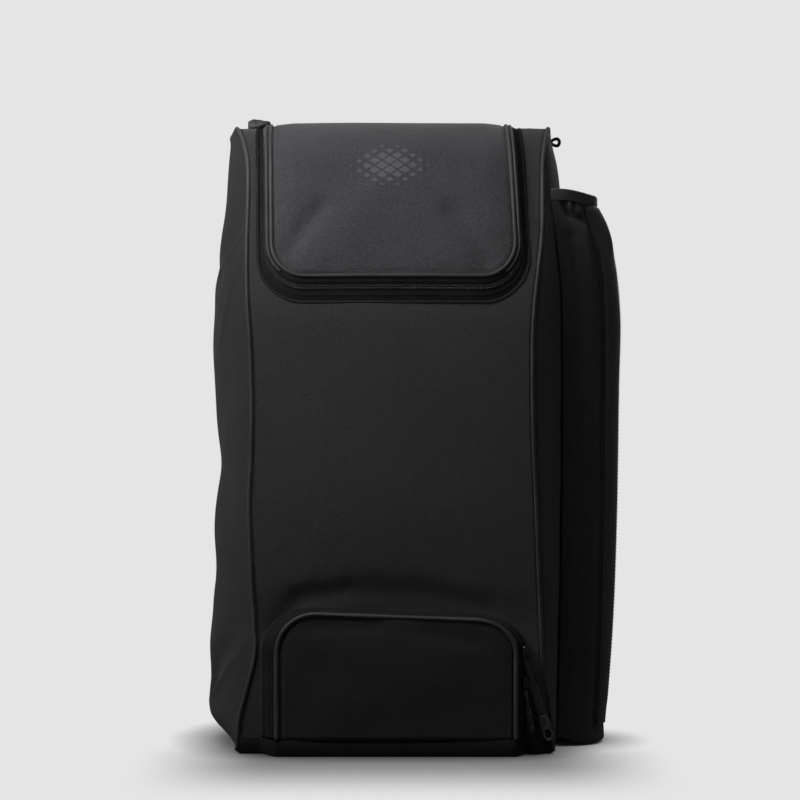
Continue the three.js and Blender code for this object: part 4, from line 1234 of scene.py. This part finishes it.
# The mouth slopes down to the right, and the cloth is drawn into dimples under its binding:
# x0, z0, x1, z1 round the sleeve from its front seam, then how wide and how deep each is.
MOUTH_SLOPE = 0.0045
SLEEVE_HOLLOWS = [
    (0.018, 0.609, 0.02, 0.6, 0.0055, 0.0048),
    (0.037, 0.609, 0.036, 0.604, 0.0045, 0.004),
    (0.024, 0.595, 0.047, 0.59, 0.0055, 0.0042),
    (0.029, 0.605, 0.044, 0.598, 0.004, -0.0022),
    (0.02, 0.57, 0.026, 0.3, 0.009, 0.0026),
    (0.044, 0.575, 0.044, 0.32, 0.007, -0.0016),
    (0.024, 0.25, 0.03, 0.08, 0.01, 0.0024),
    (0.061, 0.6, 0.061, 0.02, 0.0045, 0.003),
]
SLEEVE_ROUND = 0.24


def mouth_rise(share):
    return MOUTH_SLOPE * (1 - ease(share, 0.0, 0.45))


def foot_rise(share):
    """The sleeve's foot is drawn up at its front seam, and a little at its outer side."""
    return 0.0065 * hump(share, 0, 0.09) + 0.0025 * ease(share, 0.25, 0.5)


def sleeve_cloth_point(u, v):
    z = mix(FLOOR + foot_rise(u), SLEEVE_MOUTH, v)
    ends = min(u, 1 - u)
    sunk = hollow(SLEEVE_HOLLOWS, u * SLEEVE_ROUND, z) * clamp(ends / 0.03)
    point = sleeve_point(u, z, -sunk)
    point.z += mouth_rise(u) * v**12
    reach = math.exp(-(SLEEVE_MOUTH - z) / 0.05) + math.exp(-z / 0.05)
    puckers = crinkle(point, 15.1, reach) * clamp(ends / 0.06)
    point.x += puckers * math.sin(math.pi * u)
    point.y -= puckers * math.cos(math.pi * u)
    return point


sleeve = lay(
    "sleeve_cloth", 100, 190, sleeve_cloth_point, (SLEEVE_ROUND, SLEEVE_MOUTH)
)
give_wall(sleeve, CLOTH)
sleeve_dark, sleeve_light = (0.0064, 0.0067, 0.0077), (0.0172, 0.0182, 0.0207)
sleeve_nylon = polyester("sleeve_nylon", sleeve_dark, sleeve_light, 0.1, 0.0006, 0.42, 0.5)
dress(sleeve, sleeve_nylon, "cloth", "sleeve_panel")


# leg is the share of the tape that runs straight up, below how far it starts under the mouth.
BINDING = {"leg": 0.38, "below": 0.0027, "width": 0.0112, "round": 0.0015}


def binding_point(u, v):
    """The tape goes up the outside, over the edge and down the inside."""
    round_edge = math.pi * clamp((v - BINDING["leg"]) / (1 - 2 * BINDING["leg"]))
    up = min(min(v, 1 - v) / BINDING["leg"], 1)
    z = SLEEVE_MOUTH + mouth_rise(u) - BINDING["below"] + BINDING["width"] * up
    z += BINDING["round"] * math.sin(round_edge)
    lift = 0.0004 + 0.0012 * math.cos(round_edge) - 0.0008
    point = sleeve_point(u, SLEEVE_MOUTH, lift)
    ruck = noise.noise(Vector((u * 22, 3.0, z * 60))) * 0.0009
    return Vector((point.x + ruck, point.y, z + noise.noise(Vector((u * 5, 1.0, 0))) * 0.0008))


def ribbed(name, dark, light, pitch, rough=0.62):
    """Webbing woven in fine slanting ribs, its high threads rubbed a little lighter."""
    finish = Finish(name, Roughness=rough, Sheen_Weight=0.2, Sheen_Roughness=0.4)
    u, v, _ = finish.split(finish.threads())
    ribs = ((v + u * 0.35) * (math.pi / pitch)).maths("SINE")
    threads = ribs * ribs * (0.7 + 0.3 * abs((u * (math.pi / (pitch * 0.6))).maths("SINE")))
    wear_and_painted_light = finish.steer(finish.grain(finish.place(), 22.0, 3.0), 0.3, 0.7)
    share = threads * 0.6 + wear_and_painted_light * 0.4
    finish.set(
        Base_Color=finish.blend(dark, light, share),
        Roughness=rough + 0.1 - threads * 0.15,
    )
    finish.emboss(threads, 0.7, 0.0005)
    return finish


webbing = ribbed("webbing", (0.0085, 0.0085, 0.0085), (0.026, 0.0255, 0.0245), 0.0021)
binding = lay("mouth_binding", 90, 16, binding_point, lambda u, v: (v * 0.024, u * 0.24))
dress(binding, webbing, "webbing", "sleeve_binding")


STRIP = (5 / 18, 9 / 18)


def strip_point(u, v):
    share = mix(*STRIP, u)
    z = mix(0.022, SLEEVE_MOUTH - 0.004, v)
    edge = min(u, 1 - u)
    return sleeve_point(share, z, 0.0006 + 0.0014 * (1 - math.exp(-edge / 0.03)))


strip = lay("sleeve_webbing_strip", 14, 120, strip_point, (0.03, 0.59))
give_wall(strip, 0.0012)
dress(strip, webbing, "webbing", "sleeve_webbing")
heights = [mix(0.024, SLEEVE_MOUTH - 0.006, i / 90) for i in range(91)]
rows = []
for share in (STRIP[0] + 0.012, STRIP[1] - 0.012):
    turn = math.pi * share
    out = Vector((math.sin(turn), -math.cos(turn), 0))
    rows.append(([sleeve_point(share, z, 0.0021) for z in heights], [out] * 91))
for share, lean in ((0.035, -0.4), (0.965, 0.4)):
    out = Vector((1, lean, 0)).normalized()
    rows.append(([sleeve_point(share, z, 0.0003) for z in heights], [out] * 91))
line = [sleeve_point(mix(0.01, 0.99, i / 90), SLEEVE_MOUTH, 0.0011) for i in range(91)]
for i, point in enumerate(line):
    point.z = SLEEVE_MOUTH + mouth_rise(i / 90) + 0.0015
turns = [math.pi * i / 90 for i in range(91)]
rows.append((line, [Vector((math.sin(turn), -math.cos(turn), 0)) for turn in turns]))
sew("sleeve_stitches", "cloth", rows)


def sleeve_foot_point(u, v):
    outer = sleeve_point(u, FLOOR + foot_rise(u), -0.0002)
    inner = Vector((side_reach(1, FLOOR, outer.y) + SLEEVE_GAP, outer.y, FLOOR))
    return inner.lerp(outer, v) - Vector((0, 0, 0.001))


foot = lay("sleeve_foot", 40, 8, sleeve_foot_point, (0.14, 0.06))
give_wall(foot, BOARD)
dress(foot, coated, "cloth", "sleeve_base")

# Sliders and pulls
# Enamelled zinc sliders ride on the coils: two plates joined by a post, with an arched bridge that
# holds a pull. Two hang on the pocket's zip and one is parked at the end of the lid's.
SLIDER = Vector((0.013, 0.008, 0.004))


def box_of(node):
    low, high = (Vector(corner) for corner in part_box(node))
    return (low + high) / 2, high - low


def slider_body():
    """One slider, lying along X with its bridge upwards."""
    bpy.ops.object.select_all(action="DESELECT")
    bpy.ops.mesh.primitive_cube_add(size=1)
    plate = bpy.context.object
    bpy.ops.object.mode_set(mode="EDIT")
    bpy.ops.mesh.subdivide(number_cuts=3)
    bpy.ops.object.mode_set(mode="OBJECT")
    for vertex in plate.data.vertices:
        x, y, z = vertex.co
        nose = 1 - 0.34 * ease(x, 0.0, 0.5) ** 2 - 0.12 * ease(-x, 0.3, 0.5)
        vertex.co = Vector((x * SLIDER.x, y * SLIDER.y * nose, z * SLIDER.z * 0.62))
        vertex.co.z -= 0.0004 * abs(y) ** 2
    bevel = plate.modifiers.new("edges", "BEVEL")
    bevel.width = 0.0006
    bevel.segments = 2
    bevel.limit_method = "ANGLE"
    bpy.ops.object.modifier_apply(modifier="edges")
    bridge = lay(
        "bridge",
        10,
        20,
        lambda u, v: Vector(
            (
                -math.cos(math.pi * v) * (0.0042 + 0.0008 * math.cos(2 * math.pi * u)),
                0.0014 * math.sin(2 * math.pi * u),
                0.0009 + math.sin(math.pi * v) * (0.0026 + 0.0007 * math.cos(2 * math.pi * u)),
            )
        ),
        (0.005, 0.01),
        merge=True,
    )
    only(plate)
    bridge.select_set(True)
    bpy.ops.object.join()
    bpy.ops.object.shade_smooth_by_angle(angle=0.7)
    return plate


def settle(piece, where):
    """Puts a piece modelled at the origin in its place, with its place in its mesh."""
    piece.data.transform(where)
    piece.matrix_world = Matrix.Identity(4)
    return piece


enamel = specked(
    "enamelled_metal",
    (0.03, 0.03, 0.03),
    (0.15, 0.145, 0.138),
    rub=(420.0, 4.0, 0.5, 0.72),
    rough=(0.28, 0.22),
    bump=(900.0, 0.12, 0.0001),
    Metallic=0.5,
)
POCKET_OUT = Vector((POCKET_DEPTH, -POCKET_FLARE["right"], 0)).normalized()
UP = Vector((0, 0, 1))
for node, along, out in (
    ("pocket_slider_upper", UP, POCKET_OUT),
    ("pocket_slider_lower", -UP, POCKET_OUT),
    ("lid_slider", Vector((0, 1, 0)), UP),
):
    across = out.cross(along)
    turned = Matrix((along, across, out)).transposed().to_4x4()
    piece = settle(slider_body(), Matrix.Translation(box_of(node)[0]) @ turned)
    piece.name = node + "_body"
    dress(piece, enamel, "metal", node)

# The pulls hang along a line from under each slider. Each row says where its slider is, how long
# the pull is, and how far its foot drifts and stands off the front.
COIL_HEIGHT = 0.0018
PULL_GAP = 0.0009
PULLS = {
    "long": {"start": 0.113, "length": 0.062, "lean": 0.019, "rest": 0.009},
    "short": {"start": 0.079, "length": 0.048, "lean": 0.008, "rest": 0.011},
}


def pull_line(kind):
    sizes = PULLS[kind]
    clear = COIL_HEIGHT + PULL_GAP + SLIDER.z / 2
    at = Vector((POCKET_RIGHT + POCKET_FLARE["right"] / 2, FRONT - POCKET_DEPTH / 2, 0))
    start = at + POCKET_OUT * clear
    start.z = sizes["start"] - SLIDER.x / 2 - PULL_GAP
    end = Vector((start.x + sizes["lean"], FRONT - sizes["rest"], start.z - sizes["length"]))
    return start, end


def flat_bar(name, points, widths, thicks, sides=16):
    """A flat bar along a line, its edges rounded, as wide and thick as each row says."""
    frames = frames_along(points)

    def point_at(u, v):
        row = round(v * (len(points) - 1))
        point, along = frames[row]
        across = along.cross(Vector((0, -1, 0))).normalized()
        out = across.cross(along)
        turn = 2 * math.pi * u
        wide = squared(math.cos(turn), 0.45) * widths[row] / 2
        thick = squared(math.sin(turn), 0.7) * thicks[row] / 2
        return point + across * wide + out * thick

    return lay(name, sides, len(points) - 1, point_at, (0.02, 0.06), merge=True)


def pull_rows(kind, shape):
    """Points, widths and thicknesses down a pull; shape rows are share, width and thickness."""
    start, end = pull_line(kind)
    shares = [i / 36 for i in range(37)]
    sizes = [[graph([(row[0], row[k]) for row in shape], share) for share in shares] for k in (1, 2)]
    return [start.lerp(end, share) for share in shares], *sizes


LONG_SHAPE = [
    (0.0, 0.0034, 0.0012),
    (0.04, 0.0052, 0.0015),
    (0.4, 0.0046, 0.0015),
    (0.46, 0.0066, 0.0016),
    (0.52, 0.0086, 0.0024),
    (0.95, 0.009, 0.0026),
    (1.0, 0.0082, 0.0024),
]
SHORT_SHAPE = [
    (0.0, 0.0026, 0.0012),
    (0.05, 0.004, 0.0014),
    (0.38, 0.0034, 0.0014),
    (0.46, 0.006, 0.0018),
    (0.9, 0.0062, 0.0022),
    (1.0, 0.0044, 0.0018),
]
ribbon = flat_bar("pocket_pull_ribbon", *pull_rows("long", LONG_SHAPE))
dress(ribbon, webbing, "webbing", "pocket_pull_long")
short_pull = flat_bar("pocket_pull_tab", *pull_rows("short", SHORT_SHAPE))
dress(short_pull, enamel, "metal", "pocket_pull_short")
middle, span = box_of("lid_pull")
points = [middle + Vector((span.x * (i / 20 - 0.5), 0, 0)) for i in range(21)]
widths = [0.003 + 0.003 * ease(i / 20, 0.1, 0.5) for i in range(21)]
thicks = [0.0012 + 0.001 * math.exp(-((i / 20 - 0.7) ** 2) / 0.01) for i in range(21)]
lid_tab = flat_bar("lid_pull_tab", points, thicks, widths)
dress(lid_tab, enamel, "metal", "lid_pull")

# Moulded end of the long pull: a flat tab of rubber that ends in an oval ring.
rubber = specked(
    "moulded_rubber",
    (0.03, 0.03, 0.03),
    (0.075, 0.0735, 0.071),
    rub=(90.0, 4.0, 0.45, 0.7),
    rough=(0.4, 0.25),
    bump=(1400.0, 0.3, 0.0001),
)
start, end = pull_line("long")
along = (end - start).normalized()
out = (Vector((0, -1, 0)) + along * along.y).normalized()
middle = end + along * 0.0222
tab_points = [end + along * mix(0.0008, 0.0165, i / 12) for i in range(13)]
tab_widths = [0.0088 + 0.0036 * ease(i / 12, 0.0, 0.5) for i in range(13)]
tab_thicks = [0.0026 + 0.001 * math.sin(math.pi * i / 12) for i in range(13)]
tab = flat_bar("pull_end_tab", tab_points, tab_widths, tab_thicks)


RING = {"across": 0.0046, "along": 0.0066, "rim": 0.0017, "thick": 0.0019}


def ring_point(u, v):
    around, section = 2 * math.pi * v, 2 * math.pi * u
    reach = Vector((math.sin(around) * RING["across"], math.cos(around) * RING["along"], 0))
    flat = reach + reach.normalized() * math.cos(section) * RING["rim"]
    stand = math.sin(section) * RING["thick"]
    return middle + along * -flat.y + along.cross(out) * flat.x + out * stand


pull_end = lay("pull_end_mould", 14, 48, ring_point, (0.01, 0.06), merge=True)
tab.select_set(True)
bpy.ops.object.join()
dress(pull_end, rubber, "rubber", "pocket_pull_end")

# Folded zip ends and corner loop
# The ends of the lid's zip tape are folded into a bunch at the top left, and a small loop of
# webbing is caught in the seam at the top right.
middle, span = box_of("zip_end")


def bunch_point(u, v):
    turn = 2 * math.pi * u
    fold = 1 + 0.16 * math.sin(3 * turn + 2 + 5 * v) + 0.1 * noise.noise(Vector((u * 4, v * 6, 1)))
    full = 1 - abs(2 * v - 1) ** 4 * 0.4
    return Vector(
        (
            middle.x + span.x * (v - 0.5),
            middle.y + math.cos(turn) * span.y / 2 * full * fold,
            middle.z - 0.0025 + math.sin(turn) * span.z * 0.7 * full * fold,
        )
    )


bunch = lay("zip_end_bunch", 28, 22, bunch_point, (0.04, 0.024), merge=True)
dress(bunch, piping_cloth, "zip", "zip_end")
middle, span = box_of("corner_loop")


LOOP_WIDE = 0.0019
LOOP_CAUGHT = 0.0035


def loop_point(u, v):
    around, section = 2 * math.pi * v, 2 * math.pi * u
    rim = math.cos(section) * LOOP_WIDE
    caught = LOOP_CAUGHT * max(-math.cos(around), 0) ** 2
    return Vector(
        (
            middle.x - caught + math.cos(around) * (span.x / 2 - LOOP_WIDE + rim),
            middle.y + math.sin(section) * span.y / 2,
            middle.z + math.sin(around) * (span.z / 2 - LOOP_WIDE + rim),
        )
    )


loop = lay("corner_loop_webbing", 12, 36, loop_point, lambda u, v: (v * 0.03, u * 0.008), merge=True)
dress(loop, zip_tape, "webbing", "corner_loop")

# Carrying straps
# Two padded shoulder straps and a webbing grab handle are sewn to the back. Each pad is foam in
# polyester, topstitched round its edge, and runs on as webbing to the foot of the bag.
STRAP_ROWS = [
    (0.9, 0.29, 0.07, 0.9, 0.42),
    (0.88, 0.29, 0.2, 0.97, 0.75),
    (0.845, 0.3, 0.56, 1.0, 0.92),
    (0.78, 0.316, 0.88, 1.0, 1.0),
    (0.684, 0.356, 1.0, 1.0, 1.0),
    (0.564, 0.437, 0.88, 0.97, 1.0),
    (0.459, 0.53, 0.65, 0.86, 0.83),
    (0.41, 0.57, 0.52, 0.47, 0.33),
    (0.3, 0.644, 0.29, 0.43, 0.25),
    (0.17, 0.713, 0.14, 0.43, 0.25),
    (0.088, 0.736, 0.045, 0.43, 0.25),
]


PAD_ROWS = 150
STRAP = {"bow": 0.048, "width": 0.058, "thickness": 0.012, "gap": 0.0003}
HANDLE = {"length": 0.08, "drop": 0.044, "rise": 0.01, "bow": 0.024, "width": 0.022, "thickness": 0.004}


def strap(side, name):
    rows = []
    for up, over, bow, wide, thick in STRAP_ROWS:
        x, z = side * over * HALF, up * HEIGHT
        rows.append(Vector((x, back_reach(x, z) + bow * STRAP["bow"] + STRAP["gap"], z)))
    widths = [row[3] * STRAP["width"] for row in STRAP_ROWS]
    thicks = [row[4] * STRAP["thickness"] for row in STRAP_ROWS]
    places, length = travel(rows, PAD_ROWS)
    frames = frames_along([through(rows, place) for place in places])

    def section(u, v, lift=0.0):
        row = round(v * PAD_ROWS)
        point, along = frames[row]
        out = Vector((0, -along.z, along.y)).normalized() * (1 if along.z < 0 else -1)
        wide, thick = through(widths, places[row]) / 2, through(thicks, places[row]) / 2
        turn = 2 * math.pi * u
        reach = squared(math.cos(turn), 0.5)
        stand = squared(math.sin(turn), 0.75)
        groove = 0.0012 * hump(abs(reach), 0.8, 0.06) * ease(thick, 0.0015, 0.004)
        puff = 1 + 0.05 * noise.noise(Vector((u * 3, v * 16, side)))
        stand = stand * (thick * puff - groove) + math.copysign(lift, stand)
        return point + Vector((1, 0, 0)) * reach * (wide + lift) + out * stand

    piece = lay(name, 32, PAD_ROWS, section, (0.13, length), merge=True)
    dress(piece, bag_cloth, "webbing", name.replace("pad", "strap"))
    lines = [[section(u, i / PAD_ROWS, -0.0001) for i in range(4, 84)] for u in (0.105, 0.395)]
    sew(name + "_stitches", "webbing", [(line, [Vector((0, 1, 0))] * len(line)) for line in lines])


strap(-1, "shoulder_pad_left")
strap(1, "shoulder_pad_right")
handle_rows = []
for i in range(41):
    share = i / 40
    x = (share - 0.5) * HANDLE["length"]
    rise = math.sin(math.pi * share)
    z = HEIGHT - HANDLE["drop"] + HANDLE["rise"] * rise
    seat = max(back_reach(x, z - HANDLE["width"] / 2), wrap(WRAP_END - 0.5, x).y)
    handle_rows.append(Vector((x, seat + 0.0029 + HANDLE["bow"] * rise**0.8, z)))
handle_frames = frames_along(handle_rows)


def handle_point(u, v):
    point, along = handle_frames[round(v * 40)]
    out = Vector((-along.y, along.x, 0)).normalized()
    turn = 2 * math.pi * u
    reach = squared(math.cos(turn), 0.4) * HANDLE["width"] / 2
    return point + UP * reach + out * math.sin(turn) * HANDLE["thickness"] / 2


handle = lay("grab_handle_webbing", 20, 40, handle_point, (0.05, 0.11), merge=True)
dress(handle, webbing, "webbing", "grab_handle")

# Studio
# A pale floor glows evenly and fades into an even pale background; a contact shadow and a soft shadow in
# front of the bag are painted into its glow. A broad soft light hangs high on the left, with a weaker
# one above, a dim one low on the right and one for the back.
BACKDROP = (0.783, 0.783, 0.783)
bpy.ops.object.select_all(action="DESELECT")
bpy.ops.mesh.primitive_circle_add(vertices=96, radius=3.2, fill_type="NGON", location=(0, 0.2, -0.0002))
floor = bpy.context.object
floor.name = "studio_floor"
bpy.ops.object.transform_apply(location=True, rotation=True, scale=True)
paper = Finish("studio_paper")
paper.tree.nodes.remove(paper.shader)
x, y, _ = paper.split(paper.place())
# Painted shadows: the floor's glow is darkened by a contact shadow taken from ambient occlusion, and by
# a soft shadow painted ahead of and beside the bag.
painted_contact_shadow = paper.node("AmbientOcclusion", {"samples": 16}, (1, 1, 1, 1), 0.06, output=1)
ahead = y * -1.0 + FRONT - 0.03
reach = paper.steer(ahead, 0.03, 0.33, 1.0, 0.0) * paper.steer(ahead, -0.16, 0.0)
beside = paper.steer(abs(x - 0.01), 0.14, 0.3, 1.0, 0.0)
painted_soft_shadow = 1 - reach * beside * 0.72
shade = paper.blend((0, 0, 0), BACKDROP, painted_contact_shadow**1.5 * painted_soft_shadow)
glow = paper.node("Emission", {}, shade, 1.0)
paper.tree.links.new(glow.socket, paper.tree.nodes["Material Output"].inputs[0])
floor.data.materials.append(paper.material)
floor.visible_diffuse = False
floor.visible_glossy = False
world = bpy.data.worlds.new("studio")
bpy.context.scene.world = world
world.use_nodes = True
nodes, links = world.node_tree.nodes, world.node_tree.links
seen = nodes["Background"]
seen.inputs[0].default_value = (*BACKDROP, 1)
light = nodes.new("ShaderNodeBackground")
light.inputs[0].default_value = (0.9, 0.95, 1.0, 1)
light.inputs[1].default_value = 0.06
path = nodes.new("ShaderNodeLightPath")
chosen = nodes.new("ShaderNodeMixShader")
links.new(path.outputs["Is Camera Ray"], chosen.inputs[0])
links.new(light.outputs[0], chosen.inputs[1])
links.new(seen.outputs[0], chosen.inputs[2])
links.new(chosen.outputs[0], nodes["World Output"].inputs[0])


def soft_light(name, place, aim, size, power, colour=(1, 1, 1)):
    bpy.ops.object.light_add(type="AREA", location=place)
    lamp = bpy.context.object
    lamp.name = name
    lamp.data.shape = "RECTANGLE"
    lamp.data.size, lamp.data.size_y = size
    lamp.data.energy = power
    lamp.data.color = colour
    direction = Vector(aim) - Vector(place)
    lamp.rotation_euler = direction.to_track_quat("-Z", "Y").to_euler()


soft_light("high_left", (-0.82, -0.62, 1.08), (-0.1, 0, 0.5), (0.45, 0.45), 10.5)
soft_light("overhead", (-0.35, -0.5, 1.45), (0, 0, 0.6), (0.8, 0.5), 7)
soft_light("low_right", (1.5, -1.4, 0.35), (0.15, 0, 0.3), (1.0, 1.0), 3.0)
soft_light("rear", (0.5, 2.1, 1.1), (0, 0.1, 0.35), (1.2, 1.0), 9)
bpy.context.scene.view_settings.view_transform = "Standard"
